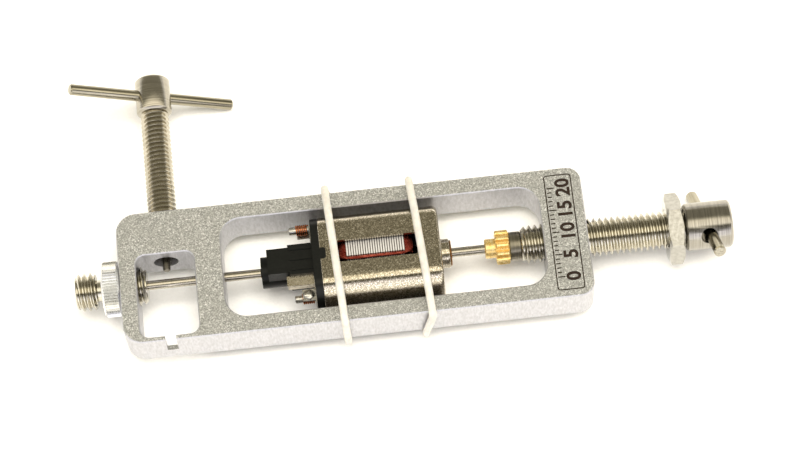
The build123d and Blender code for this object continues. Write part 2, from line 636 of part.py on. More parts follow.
stack_radius = magnet_outer - MAGNET_THICKNESS - AIR_GAP
shoe_inner = stack_radius - POLE_SHOE
slot_angle = ROTOR_ANGLE + 180 / POLES
stem_middle = (shoe_inner + POLE_SHOE / 5) / 2
with BuildPart() as laminations:
    with BuildSketch(Plane.YZ.offset(stack_start)):
        Circle(stack_radius)
        Circle(shoe_inner, mode=Mode.SUBTRACT)
        with PolarLocations(stack_radius, POLES, start_angle=slot_angle):
            Rectangle(3 * POLE_SHOE, POLE_GAP, mode=Mode.SUBTRACT)
        Circle(STACK_HUB_DIAMETER / 2)
        with PolarLocations(stem_middle, POLES, start_angle=ROTOR_ANGLE):
            Rectangle(shoe_inner, POLE_STEM)
        Circle(SHAFT_DIAMETER / 2, mode=Mode.SUBTRACT)
    extrude(amount=STACK_LENGTH)
save(laminations.part, "laminations")

# One coil round each pole, in the space between the hub and the pole shoe.
coil_inner = STACK_HUB_DIAMETER / 2 + COIL_CLEARANCE
coil_half_width = POLE_STEM
coil_outer = sqrt((shoe_inner - COIL_CLEARANCE) ** 2 - coil_half_width**2)
coil_middle = (coil_inner + coil_outer) / 2
with BuildPart() as windings:
    with BuildSketch(Plane.YZ.offset(stack_start - COIL_OVERHANG)):
        with PolarLocations(coil_middle, POLES, start_angle=ROTOR_ANGLE):
            Rectangle(coil_outer - coil_inner, 2 * coil_half_width)
    extrude(amount=STACK_LENGTH + 2 * COIL_OVERHANG)
    with BuildSketch(Plane.YZ.offset(stack_start - COIL_CLEARANCE)):
        with PolarLocations(coil_middle, POLES, start_angle=ROTOR_ANGLE):
            Rectangle(2 * (coil_outer - coil_inner), POLE_STEM + 2 * COIL_CLEARANCE)
    extrude(amount=STACK_LENGTH + 2 * COIL_CLEARANCE, mode=Mode.SUBTRACT)
save(windings.part, "windings")

commutator_start = brush_middle - COMMUTATOR_LENGTH / 2
with BuildPart() as commutator:
    with BuildSketch(Plane.YZ.offset(commutator_start)):
        Circle(COMMUTATOR_DIAMETER / 2)
        with PolarLocations(COMMUTATOR_DIAMETER / 2, POLES, start_angle=slot_angle):
            Rectangle(SEGMENT_SLOT, SEGMENT_SLOT, mode=Mode.SUBTRACT)
        Circle(SHAFT_DIAMETER / 2, mode=Mode.SUBTRACT)
    extrude(amount=COMMUTATOR_LENGTH)
save(commutator.part, "commutator")

front_washer_start = CAN_FRONT - CAN_WALL - TOUCH_GAP - WASHER_THICKNESS
rear_washer_start = bore_start + TOUCH_GAP
for name, start in (
    ("washer_front", front_washer_start),
    ("washer_rear", rear_washer_start),
):
    with BuildPart() as washer:
        with BuildSketch(Plane.YZ.offset(start)):
            Circle(WASHER_DIAMETER / 2)
            Circle(SHAFT_DIAMETER / 2, mode=Mode.SUBTRACT)
        extrude(amount=WASHER_THICKNESS)
    save(washer.part, name)

# Pinion: straight-flanked teeth on a root cylinder, with a plain hub.
tooth_pitch_angle = 2 * pi / PINION_TEETH
tooth_root_half = PINION_ROOT_DIAMETER / 2 * sin(TOOTH_ROOT_SHARE * tooth_pitch_angle)
tooth_tip_half = PINION_DIAMETER / 2 * sin(TOOTH_TIP_SHARE * tooth_pitch_angle)
tooth_base = PINION_ROOT_DIAMETER / 2 * cos(TOOTH_ROOT_SHARE * tooth_pitch_angle)
with BuildPart() as pinion:
    with BuildSketch(Plane.YZ.offset(PINION_STEP)):
        Circle(PINION_ROOT_DIAMETER / 2)
        with PolarLocations(0, PINION_TEETH):
            Polygon(
                (tooth_base, -tooth_root_half),
                (PINION_DIAMETER / 2, -tooth_tip_half),
                (PINION_DIAMETER / 2, tooth_tip_half),
                (tooth_base, tooth_root_half),
                align=None,
            )
    extrude(amount=PINION_FACE)
    with BuildSketch(Plane.YZ.offset(PINION_START)):
        Circle(PINION_HUB_DIAMETER / 2)
    extrude(amount=PINION_HUB_LENGTH)
    with BuildSketch(Plane.YZ.offset(PINION_START)):
        Circle(SHAFT_DIAMETER / 2)
    extrude(amount=PINION_END - PINION_START, mode=Mode.SUBTRACT)
save(pinion.part, "pinion")

# Brush gear ---------------------------------------------------------------------------------

holder_face = STEP_BLOCK[1] / 2
brush_tip = COMMUTATOR_DIAMETER / 2 + TOUCH_GAP
for name, side, (holder_height, holder_flange), lug_height in (
    ("back", 1, BACK_HOLDER, BACK_LUG_HEIGHT),
    ("front", -1, FRONT_HOLDER, FRONT_LUG_HEIGHT),
):
    with BuildPart() as brush:
        with BuildSketch(Plane.XZ.offset(-side * brush_tip)):
            with Locations((brush_middle, 0)):
                Rectangle(brush_length, brush_height)
        extrude(amount=-side * (holder_face - brush_tip))
    save(brush.part, f"brush_{name}")

    # Sheet-metal brush holder: a web on the block's side with a flange bent out at its top.
    with BuildPart() as holder:
        holder_start = FLANGE_REAR - HOLDER_GAP - HOLDER_LENGTH
        with BuildSketch(Plane.YZ.offset(holder_start)):
            with BuildLine():
                Polyline(
                    (side * holder_face, -brush_height),
                    (side * holder_face, holder_height),
                    (side * (holder_face + holder_flange), holder_height),
                    (side * (holder_face + holder_flange), holder_height - HOLDER_SHEET),
                    (side * (holder_face + HOLDER_SHEET), holder_height - HOLDER_SHEET),
                    (side * (holder_face + HOLDER_SHEET), -brush_height),
                    close=True,
                )
            make_face()
        extrude(amount=HOLDER_LENGTH)
    save(holder.part, f"brush_holder_{name}")

    # Terminal: a plate on the flange with a lug bent out of it.
    lug_length, lug_width, lug_sheet = LUG_SIZE
    plate_sheet, plate_width, plate_height = TERMINAL_PLATE
    with BuildPart() as terminal:
        with BuildSketch(Plane.YZ.offset(FLANGE_REAR - plate_sheet)):
            with Locations((side * LUG_FROM_AXIS, lug_height + lug_sheet / 2 - plate_height / 2)):
                Rectangle(plate_width, plate_height)
        extrude(amount=plate_sheet)
        with BuildSketch(Plane.XY.offset(lug_height - lug_sheet / 2)):
            with Locations((FLANGE_REAR - plate_sheet - lug_length / 2, side * LUG_FROM_AXIS)):
                Rectangle(lug_length, lug_width)
        extrude(amount=lug_sheet)
    save(terminal.part, f"terminal_{name}")

    # Choke: a ferrite core with its coil, lying along the motor just over the back lug, and
    # just under the front one.
    choke_end = FLANGE_REAR - plate_sheet - TOUCH_GAP
    coil_radius = CHOKE_COIL_DIAMETER / 2
    choke_from_lug = lug_sheet / 2 + coil_radius + TOUCH_GAP
    choke_z = lug_height + choke_from_lug
    if name == "front":
        choke_z = min(FRONT_CHOKE_HEIGHT, lug_height - choke_from_lug)
    choke_y = side * CHOKE_FROM_AXIS
    with BuildPart() as choke_core:
        with BuildSketch(Plane.YZ.offset(choke_end - CHOKE_CORE_LENGTH)):
            with Locations((choke_y, choke_z)):
                Circle(CHOKE_CORE_DIAMETER / 2)
        extrude(amount=CHOKE_CORE_LENGTH)
    save(choke_core.part, f"choke_core_{name}")
    with BuildPart() as choke_coil:
        with BuildSketch(Plane.YZ.offset(choke_end - CHOKE_COIL_LENGTH)):
            with Locations((choke_y, choke_z)):
                Circle(coil_radius)
                Circle(CHOKE_CORE_DIAMETER / 2, mode=Mode.SUBTRACT)
        extrude(amount=CHOKE_COIL_LENGTH)
    save(choke_coil.part, f"choke_coil_{name}")

# Elastic bands ------------------------------------------------------------------------------

band_offset = BAND_DIAMETER / 2 + BAND_CLEARANCE
frame_half_height = FRAME_THICKNESS / 2
bend_y = sqrt((CAN_DIAMETER / 2 - CAN_BEND_RADIUS) ** 2 - (flat_height - CAN_BEND_RADIUS) ** 2)
run_slope = atan2(flat_height - frame_half_height, FRAME_WIDTH / 2 - bend_y)
# A run down to the frame's edge touches the bend where it leaves the flat's line.
can_corner = bend_y + CAN_BEND_RADIUS * tan(run_slope / 2)


def beside(point, direction):
    """Point beside a corner. The corners go clockwise, so outwards is to the left of travel."""
    return (
        point[0] - band_offset * sin(direction),
        point[1] + band_offset * cos(direction),
    )


for name, from_rear, skew in (
    ("band_left", LEFT_BAND_FROM_CAN_REAR, LEFT_BAND_SKEW),
    ("band_right", RIGHT_BAND_FROM_CAN_REAR, RIGHT_BAND_SKEW),
):
    # The loop is the tight outline round the can's bends and the frame's edges, in a plane that
    # leans a little from square, so widths across Y stretch by the lean. Runs clear each corner
    # by the offset, and an arc round the corner joins two runs.
    lean = Plane(
        origin=(CAN_REAR + from_rear, 0, 0),
        x_dir=(sin(radians(skew)), -cos(radians(skew)), 0),
        z_dir=(cos(radians(skew)), sin(radians(skew)), 0),
    )
    stretch = 1 / cos(radians(skew))
    with BuildPart() as band:
        with BuildLine(lean) as loop:
            corners = [
                (can_corner * stretch, flat_height),
                (FRAME_WIDTH / 2 * stretch, frame_half_height),
                (FRAME_WIDTH / 2 * stretch, -frame_half_height),
                (can_corner * stretch, -flat_height),
            ]
            corners += [(-y, z) for y, z in reversed(corners)]
            previous = corners[-1]
            directions = []
            for corner in corners:
                directions.append(atan2(corner[1] - previous[1], corner[0] - previous[0]))
                previous = corner
            directions.append(directions[0])
            for index, corner in enumerate(corners):
                come, go = directions[index], directions[index + 1]
                start, end = beside(corner, come), beside(corner, go)
                turn = (go - come + pi) % (2 * pi) - pi
                middle = beside(corner, come + turn / 2)
                ThreePointArc(start, middle, end)
                following = corners[(index + 1) % len(corners)]
                Line(end, beside(following, go))
        with BuildSketch(Plane(origin=loop.line @ 0, z_dir=loop.line % 0)):
            Circle(BAND_DIAMETER / 2)
        sweep(path=loop.line)
    save(band.part, name)
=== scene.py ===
"""Looks for the pinion press and puller: finishes, turned and wound pieces, floor, light, camera.

Lengths are in millimetres until a mesh, a light or the camera is made, and then in metres.
"""

import json
from math import asin, atan2, cos, pi, radians, sin, sqrt, tan

import bmesh
import bpy
from mathutils import Matrix, Vector, noise


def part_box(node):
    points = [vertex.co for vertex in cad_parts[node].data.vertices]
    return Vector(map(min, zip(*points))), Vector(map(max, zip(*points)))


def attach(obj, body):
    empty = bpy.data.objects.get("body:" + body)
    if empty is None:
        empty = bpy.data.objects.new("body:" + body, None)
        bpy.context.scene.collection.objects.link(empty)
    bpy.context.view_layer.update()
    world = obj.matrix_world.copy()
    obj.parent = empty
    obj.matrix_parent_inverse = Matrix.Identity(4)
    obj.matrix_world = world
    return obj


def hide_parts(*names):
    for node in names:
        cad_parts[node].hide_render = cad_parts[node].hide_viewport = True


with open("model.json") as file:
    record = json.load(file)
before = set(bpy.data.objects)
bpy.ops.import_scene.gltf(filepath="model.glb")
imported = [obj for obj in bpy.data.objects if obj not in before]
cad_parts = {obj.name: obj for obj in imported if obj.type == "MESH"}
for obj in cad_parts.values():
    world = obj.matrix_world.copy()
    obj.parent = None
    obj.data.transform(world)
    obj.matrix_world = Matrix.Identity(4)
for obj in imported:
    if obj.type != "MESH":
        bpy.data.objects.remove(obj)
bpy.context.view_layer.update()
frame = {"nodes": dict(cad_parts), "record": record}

MM = 0.001
NODES = frame["nodes"]


def low(node):
    """Lowest corner of a CAD node, in millimetres."""
    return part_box(node)[0] / MM


def high(node):
    """Highest corner of a CAD node, in millimetres."""
    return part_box(node)[1] / MM


# Materials ----------------------------------------------------------------------------------


def colour(code):
    """Linear RGBA from an sRGB hex value."""
    shares = [int(code[i : i + 2], 16) / 255 for i in (1, 3, 5)]
    return [s / 12.92 if s <= 0.04045 else ((s + 0.055) / 1.055) ** 2.4 for s in shares] + [1]


def every(size):
    """Texture scale that repeats or changes over a size in millimetres."""
    return 1 / (size * MM)


def add(tree, kind, inputs=(), **settings):
    """Add one node: settings are its properties, inputs are values or sockets by name."""
    made = tree.nodes.new(kind)
    for key, value in settings.items():
        setattr(made, key, value)
    for key, value in dict(inputs).items():
        if isinstance(value, bpy.types.NodeSocket):
            tree.links.new(value, made.inputs[key])
        else:
            made.inputs[key].default_value = value
    return made


def blank(name):
    """New material with an empty node tree."""
    material = bpy.data.materials.new(name)
    material.use_nodes = True
    material.node_tree.nodes.clear()
    return material, material.node_tree


def finish_material(tree, shader):
    """Join a shader to the material's output."""
    add(tree, "ShaderNodeOutputMaterial", {"Surface": shader.outputs[0]})


def ramp(tree, value, *stops):
    """Colour ramp through stops of (position, sRGB hex)."""
    made = add(tree, "ShaderNodeValToRGB", {"Fac": value})
    elements = made.color_ramp.elements
    while len(elements) < len(stops):
        elements.new(0.5)
    for element, (position, code) in zip(elements, stops):
        element.position = position
        element.color = colour(code)
    return made.outputs["Color"]


def spread(tree, value, low_value, high_value, start=0.0, end=1.0):
    """Map a texture value from start..end to a range."""
    return add(
        tree,
        "ShaderNodeMapRange",
        {
            "Value": value,
            "From Min": start,
            "From Max": end,
            "To Min": low_value,
            "To Max": high_value,
        },
    ).outputs["Result"]


def place_of(tree, stretch=(1, 1, 1)):
    """Object coordinates, stretched along the axes."""
    here = add(tree, "ShaderNodeTexCoord").outputs["Object"]
    if tuple(stretch) == (1, 1, 1):
        return here
    return add(tree, "ShaderNodeMapping", {"Vector": here, "Scale": stretch}).outputs[0]


def grain(tree, vector, size, detail=2.0, roughness=0.5):
    """Noise whose lumps are about a size in millimetres."""
    return add(
        tree,
        "ShaderNodeTexNoise",
        {"Vector": vector, "Scale": every(size), "Detail": detail, "Roughness": roughness},
    ).outputs["Fac"]


def bumped(tree, height, depth, strength=1.0, normal=None):
    """Bump whose full height is a depth in millimetres."""
    inputs = {"Height": height, "Distance": depth * MM, "Strength": strength}
    if normal is not None:
        inputs["Normal"] = normal
    return add(tree, "ShaderNodeBump", inputs).outputs["Normal"]


def mixed(tree, share, first, second):
    """Colour between two colours or sockets."""
    return add(
        tree, "ShaderNodeMix", {0: share, 6: first, 7: second}, data_type="RGBA"
    ).outputs[2]


def shaded(material, tree, values):
    """The material, finished with a principled shader that has these values."""
    finish_material(tree, add(tree, "ShaderNodeBsdfPrincipled", values))
    return material


def blasted_aluminium():
    """Milled aluminium bar: a bead-blasted, sparkling top and finely milled sides, whose paler,
    lilac tone is partly painted light for the lit front faces.
    """
    material, tree = blank("blasted_aluminium")
    here = place_of(tree)
    speckle = grain(tree, here, 0.3, 3.0, 0.7)
    mottle = grain(tree, here, 4.0, 3.0, 0.6)
    cutter = grain(tree, place_of(tree, (1.0, 1.0, 0.25)), 0.4, 3.0, 0.6)
    top = ramp(
        tree, speckle, (0.34, "#7f807d"), (0.47, "#a3a4a2"), (0.55, "#b9bab8"), (0.68, "#fbfbfa")
    )
    top = mixed(tree, spread(tree, mottle, 0.0, 0.4, 0.35, 0.7), top, colour("#a6a6a2"))
    # Partly painted light: the sides, found by their normal, get a paler, lilac tone than the top
    # for the brighter lit front faces; their milled grain is real.
    side = ramp(tree, cutter, (0.3, "#a6a6a9"), (0.7, "#c1c1c6"))
    lie = add(tree, "ShaderNodeNewGeometry").outputs["True Normal"]
    upward = add(tree, "ShaderNodeSeparateXYZ", {0: lie}).outputs["Z"]
    level = add(tree, "ShaderNodeMath", {0: upward}, operation="ABSOLUTE").outputs[0]
    is_top = spread(tree, level, 0.0, 1.0, 0.86, 0.97)
    relief = mixed(tree, is_top, cutter, speckle)
    return shaded(
        material,
        tree,
        {
            "Base Color": mixed(tree, is_top, side, top),
            "Metallic": 0.7,
            "Roughness": spread(tree, is_top, 0.36, 0.5),
            "Normal": bumped(tree, relief, 0.03, spread(tree, is_top, 0.08, 0.55)),
        },
    )


def turned_metal(name, stretch, dark, light, rough, ring=0.22, depth=0.01):
    """Metal turned on a lathe: rings of slightly different brightness round the axis."""
    material, tree = blank(name)
    rings = grain(tree, place_of(tree, stretch), ring, 3.0, 0.7)
    smudge = grain(tree, place_of(tree), 2.2, 3.0, 0.6)
    tone = ramp(tree, rings, (0.3, dark), (0.7, light))
    return shaded(
        material,
        tree,
        {
            "Base Color": tone,
            "Metallic": 1.0,
            "Roughness": spread(tree, smudge, rough - 0.07, rough + 0.1, 0.3, 0.7),
            "Normal": bumped(tree, rings, depth, 0.5),
        },
    )


def satin_metal(name, dark, light, rough, size=1.5, fine=0.3, depth=0.008, metallic=1.0):
    """Plated or rolled metal: soft clouds and a fine grain in its shine."""
    material, tree = blank(name)
    clouds = grain(tree, place_of(tree), size, 4.0, 0.6)
    fine_grain = grain(tree, place_of(tree), fine, 2.0, 0.6)
    tone = ramp(tree, clouds, (0.32, dark), (0.68, light))
    return shaded(
        material,
        tree,
        {
            "Base Color": tone,
            "Metallic": metallic,
            "Roughness": spread(tree, fine_grain, rough - 0.08, rough + 0.1, 0.3, 0.7),
            "Normal": bumped(tree, fine_grain, depth, 0.5),
        },
    )


def bar_metal(name, turn):
    """Ground bar: bright, with faint lengthwise streaks of painted sheen for the reflections along
    it; turn sets the bar's direction.
    """
    material, tree = blank(name)
    along = add(
        tree,
        "ShaderNodeMapping",
        {"Vector": place_of(tree), "Rotation": turn, "Scale": (40.0, 1.0, 1.0)},
        vector_type="TEXTURE",
    ).outputs[0]
    # Painted sheen: streaks stretched along the bar stand in for its lengthwise reflections.
    sheen_streaks = grain(tree, along, 0.35, 3.0, 0.6)
    smudge = grain(tree, place_of(tree), 1.8, 3.0, 0.6)
    return shaded(
        material,
        tree,
        {
            "Base Color": ramp(tree, sheen_streaks, (0.3, "#86806f"), (0.7, "#ada795")),
            "Metallic": 1.0,
            "Roughness": spread(tree, smudge, 0.14, 0.26, 0.3, 0.7),
            "Normal": bumped(tree, sheen_streaks, 0.006, 0.5),
        },
    )


def plain_solid(name, dark, light, rough, size=0.5, depth=0.01, specular=0.5):
    """Moulded, pressed or sintered non-metal with a fine grain."""
    material, tree = blank(name)
    lumps = grain(tree, place_of(tree), size, 3.0, 0.6)
    return shaded(
        material,
        tree,
        {
            "Base Color": ramp(tree, lumps, (0.3, dark), (0.7, light)),
            "Metallic": 0.0,
            "Roughness": spread(tree, lumps, rough - 0.06, rough + 0.08, 0.3, 0.7),
            "Specular IOR Level": specular,
            "Normal": bumped(tree, lumps, depth, 0.5),
        },
    )


def flecked_nickel():
    """Nickel plate on rolled sheet: satin, with fine pale cream flecks in its colour."""
    material, tree = blank("nickel_plated_can")
    flecks = grain(tree, place_of(tree), 0.3, 4.0, 0.75)
    clouds = grain(tree, place_of(tree), 3.0, 3.0, 0.6)
    tone = ramp(
        tree, flecks, (0.38, "#7e7665"), (0.49, "#afa693"), (0.56, "#c6bdaa"), (0.63, "#fff8ea")
    )
    tone = mixed(tree, spread(tree, clouds, 0.0, 0.25, 0.35, 0.7), tone, colour("#aba390"))
    return shaded(
        material,
        tree,
        {
            "Base Color": tone,
            "Metallic": 1.0,
            "Roughness": spread(tree, flecks, 0.11, 0.2, 0.3, 0.7),
            "Normal": bumped(tree, flecks, 0.01, 0.5),
        },
    )


def stacked_sheets():
    """Stamped electrical steel, stacked: a bright cut edge on each sheet, dark between them."""
    material, tree = blank("electrical_steel")
    along = add(tree, "ShaderNodeSeparateXYZ", {0: place_of(tree)}).outputs["X"]
    count = spread(
        tree, along, 0.0, SHEETS_IN_STACK, low("laminations").x * MM, high("laminations").x * MM
    )
    share = add(tree, "ShaderNodeMath", {0: count}, operation="FRACT").outputs[0]
    edge = ramp(
        tree, share, (0.1, "#3d3635"), (0.26, "#dad8d6"), (0.74, "#dad8d6"), (0.9, "#3d3635")
    )
    burr = grain(tree, place_of(tree), 0.4, 2.0)
    return shaded(
        material,
        tree,
        {
            "Base Color": mixed(tree, spread(tree, burr, 0.0, 0.3), edge, colour("#8e8a88")),
            "Metallic": 0.3,
            "Roughness": spread(tree, burr, 0.36, 0.5),
        },
    )


def silicone():
    """Milky silicone, extruded and joined: light goes some way in, the skin is slightly dull."""
    material, tree = blank("milky_silicone")
    clouds = grain(tree, place_of(tree), 1.6, 3.0, 0.6)
    return shaded(
        material,
        tree,
        {
            "Base Color": ramp(tree, clouds, (0.3, "#d0cdc6"), (0.7, "#e4e2dc")),
            "Roughness": spread(tree, clouds, 0.32, 0.48),
            "Subsurface Weight": 0.7,
            "Subsurface Radius": (1.0, 0.9, 0.7),
            "Subsurface Scale": 0.0012,
            "Transmission Weight": 0.25,
            "IOR": 1.41,
            "Normal": bumped(tree, clouds, 0.03, 0.4),
        },
    )


SHEETS_IN_STACK = 24
ALONG_X = (1.0, 0.02, 0.02)
ALONG_Y = (0.02, 1.0, 0.02)

ALUMINIUM = blasted_aluminium()
PRESS_STEEL = turned_metal("turned_stainless_along_x", ALONG_X, "#a8a394", "#dad6ca", 0.18)
PULLER_STEEL = turned_metal("turned_stainless_along_y", ALONG_Y, "#a29c8c", "#d2ccbe", 0.18)
HEAD_STEEL = turned_metal("turned_head_along_x", ALONG_X, "#86827a", "#aca89f", 0.16, 0.35)
PULLER_HEAD_STEEL = turned_metal("turned_head_along_y", ALONG_Y, "#918c80", "#b8b3a7", 0.16, 0.35)
PAD_STEEL = turned_metal("hardened_steel", ALONG_X, "#6e695c", "#9b9585", 0.3)
PRESS_BAR_STEEL = bar_metal("ground_bar_in_press_head", (0.0, radians(-38.4), radians(-84.5)))
PULLER_BAR_STEEL = bar_metal("ground_bar_in_puller_head", (0.0, radians(26.0), 0.0))
PIN_STEEL = turned_metal("ground_pin", ALONG_X, "#b1ab9d", "#c0baac", 0.2, 0.6, 0.002)
PULLER_PIN_STEEL = turned_metal("hardened_pin", ALONG_Y, "#6e695c", "#8f897b", 0.3)
NUT_NICKEL = satin_metal("nickel_plated_nut", "#98968f", "#b4b2ac", 0.14, 0.8)
KNURLED = satin_metal("zinc_nickel_nut", "#d2d3d3", "#e6e7e7", 0.3, 0.8)
CAN_NICKEL = flecked_nickel()
NYLON = plain_solid("black_nylon", "#050605", "#0e100d", 0.42, 0.35, 0.01, 0.25)
BRONZE = satin_metal("sintered_bronze", "#8d6238", "#c08a55", 0.42, 0.4, 0.2)
FERRITE = plain_solid("ferrite", "#26262a", "#3b3b3f", 0.6, 0.3)
SHEETS = stacked_sheets()
WIRE = satin_metal("enamelled_copper", "#8c2a1e", "#cf6a56", 0.26, 0.9, 0.3, metallic=0.5)
BARE_COPPER = satin_metal("bare_copper", "#b0643c", "#e0986a", 0.24, 0.9)
COPPER = satin_metal("turned_copper", "#a8653c", "#cf8a5c", 0.3, 0.6)
FIBRE = plain_solid("phenolic_fibre", "#7a5c36", "#9a7a4c", 0.6)
BRASS = satin_metal("yellow_brass", "#e9bf66", "#ffeab0", 0.3, 0.6, 0.25, metallic=0.8)
CARBON = plain_solid("copper_graphite", "#241c18", "#3a2f28", 0.45, 0.2)
HOLDER_SHEET = satin_metal("nickel_plated_sheet", "#b5ab96", "#dcd4c2", 0.25, 0.9)
SOLDER = satin_metal("solder_dipped_sheet", "#b4b2ac", "#e6e4de", 0.28, 0.5, 0.35, 0.04)
SILICONE = silicone()

FINISHES = {
    "frame": ALUMINIUM,
    "press_screw": PRESS_STEEL,
    "press_pad": PAD_STEEL,
    "press_tommy_bar": PRESS_BAR_STEEL,
    "lock_nut": NUT_NICKEL,
    "puller_screw": PULLER_STEEL,
    "puller_pin": PULLER_PIN_STEEL,
    "puller_tommy_bar": PULLER_BAR_STEEL,
    "anvil_screw": PRESS_STEEL,
    "anvil_pin": PIN_STEEL,
    "thumb_nut": KNURLED,
    "motor_can": CAN_NICKEL,
    "motor_endbell": NYLON,
    "bearing_front": BRONZE,
    "bearing_rear": BRONZE,
    "magnet_back": FERRITE,
    "magnet_front": FERRITE,
    "rotor_shaft": PIN_STEEL,
    "laminations": SHEETS,
    "windings": WIRE,
    "commutator": COPPER,
    "washer_front": FIBRE,
    "washer_rear": FIBRE,
    "pinion": BRASS,
    "brush_back": CARBON,
    "brush_front": CARBON,
    "brush_holder_back": HOLDER_SHEET,
    "brush_holder_front": HOLDER_SHEET,
    "terminal_back": SOLDER,
    "terminal_front": SOLDER,
    "choke_core_back": SOLDER,
    "choke_core_front": SOLDER,
    "choke_coil_back": WIRE,
    "choke_coil_front": WIRE,
    "band_left": SILICONE,
    "band_right": SILICONE,
}
for node_name, material in FINISHES.items():
    node = NODES[node_name]
    if not node.material_slots:
        node.data.materials.append(material)
    for slot in node.material_slots:
        slot.material = material

BODY_OF = {n: b for b, names in frame["record"]["behaviour"]["bodies"].items() for n in names}


# Meshes -------------------------------------------------------------------------------------


def make(name, points, faces, material, stands_for, sharp=32, body=None):
    """Mesh object from points in millimetres; it hangs under its CAD nodes' body and, unless a
    body is given, hides those nodes.
    """
    mesh = bpy.data.meshes.new(name)
    mesh.from_pydata([tuple(c * MM for c in point) for point in points], [], faces)
    tidy = bmesh.new()
    tidy.from_mesh(mesh)
    bmesh.ops.remove_doubles(tidy, verts=tidy.verts, dist=0.0004 * MM)
    bmesh.ops.dissolve_degenerate(tidy, edges=tidy.edges, dist=0.0002 * MM)
    bmesh.ops.recalc_face_normals(tidy, faces=tidy.faces)
    tidy.to_mesh(mesh)
    tidy.free()
    mesh.shade_smooth()
    mesh.set_sharp_from_angle(angle=radians(sharp))
    mesh.materials.append(material)
    made = bpy.data.objects.new(name, mesh)
    bpy.context.scene.collection.objects.link(made)
    stands_for = [stands_for] if isinstance(stands_for, str) else list(stands_for)
    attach(made, body or BODY_OF[stands_for[0]])
    if body is None:
        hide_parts(*stands_for)
    return made


# Sides of a round piece, and steps along a thread's pitch.
TURN_STEPS = 36


def thread_rows(start, end, diameter, pitch, lead=(0.8, 0.8)):
    """Rings along a right-hand thread with flat crests and roots and a lead-in at each end."""
    crest, depth = diameter / 2, 0.6134 * pitch
    step = pitch / TURN_STEPS
    count = round((end - start) / step)
    rows = []
    for i in range(count + 1):
        station = start + (end - start) * i / count
        cone = min(
            crest - max(0.0, lead[0] - (station - start)),
            crest - max(0.0, lead[1] - (end - station)),
        )
        ring = []
        for k in range(TURN_STEPS):
            share = ((i - k) / TURN_STEPS) % 1
            away = abs(share - 0.5) * pitch - pitch / 16
            radius = crest - min(max(away, 0.0) / tan(radians(30)), depth)
            ring.append(min(radius, cone))
        rows.append((station, ring))
    return rows


def along_x(station, u, v):
    return (station, u, v)


def along_puller(station, u, v):
    return (PULLER_X + v, station, u)


def turned(name, rows, place, material, stands_for, sharp=32, body=None):
    """Closed piece from rings of (station, radius or radii)."""
    points, faces = [], []
    for station, radii in rows:
        for k in range(TURN_STEPS):
            radius = radii[k] if isinstance(radii, list) else radii
            angle = 2 * pi * k / TURN_STEPS
            points.append(place(station, radius * cos(angle), radius * sin(angle)))
    for i in range(len(rows) - 1):
        for k in range(TURN_STEPS):
            a, b = i * TURN_STEPS + k, i * TURN_STEPS + (k + 1) % TURN_STEPS
            c, d = b + TURN_STEPS, a + TURN_STEPS
            faces += [(a, b, c), (a, c, d)]
    return make(name, points, faces, material, stands_for, sharp, body)


def cut(target, name, points, faces):
    """Boolean difference of a target and a closed mesh in millimetres, applied."""
    mesh = bpy.data.meshes.new(name)
    mesh.from_pydata([tuple(c * MM for c in point) for point in points], [], faces)
    tool = bpy.data.objects.new(name, mesh)
    bpy.context.scene.collection.objects.link(tool)
    modifier = target.modifiers.new("cut", "BOOLEAN")
    modifier.operation = "DIFFERENCE"
    modifier.object = tool
    modifier.solver = "EXACT"
    graph = bpy.context.evaluated_depsgraph_get()
    result = bpy.data.meshes.new_from_object(target.evaluated_get(graph))
    target.modifiers.clear()
    old = target.data
    target.data = result
    bpy.data.meshes.remove(old)
    bpy.data.objects.remove(tool)
    bpy.data.meshes.remove(mesh)
    target.data.shade_smooth()
    target.data.set_sharp_from_angle(angle=radians(32))


def rod(centre, direction, length, radius, sides=48):
    """Points and faces of a closed cylinder about a centre."""
    direction = Vector(direction).normalized()
    across = direction.orthogonal().normalized()
    other = direction.cross(across)
    points = []
    for end in (-0.5, 0.5):
        for k in range(sides):
            angle = 2 * pi * k / sides
            point = (
                Vector(centre)
                + direction * length * end
                + across * radius * cos(angle)
                + other * radius * sin(angle)
            )
            points.append(tuple(point))
    faces = [(k, (k + 1) % sides, sides + (k + 1) % sides, sides + k) for k in range(sides)]
    faces += [tuple(reversed(range(sides))), tuple(range(sides, 2 * sides))]
    return points, faces


# Screws -------------------------------------------------------------------------------------

PULLER_X = (low("puller_screw").x + high("puller_screw").x) / 2
PRESS_DIAMETER, PRESS_PITCH = 8.0, 1.25
ANVIL_DIAMETER, ANVIL_PITCH = 8.0, 1.25
PULLER_DIAMETER, PULLER_PITCH = 6.0, 1.0
HEAD_CHAMFER = 0.45


def head_rows(start, end, radius, chamfer, dish=0.0):
    """Turned head: chamfered with slightly rounded corners, and a faint hollow in its end."""
    soft = chamfer / 5
    return [
        (start, 0.0),
        (start, radius - chamfer - soft),
        (start + soft / 2, radius - chamfer),
        (start + chamfer, radius - soft / 2),
        (start + chamfer + soft, radius),
        (end - chamfer - soft, radius),
        (end - chamfer, radius - soft / 2),
        (end - soft / 2, radius - chamfer),
        (end, radius - chamfer - soft),
        (end - dish, radius / 2),
        (end - dish, 0.0),
    ]


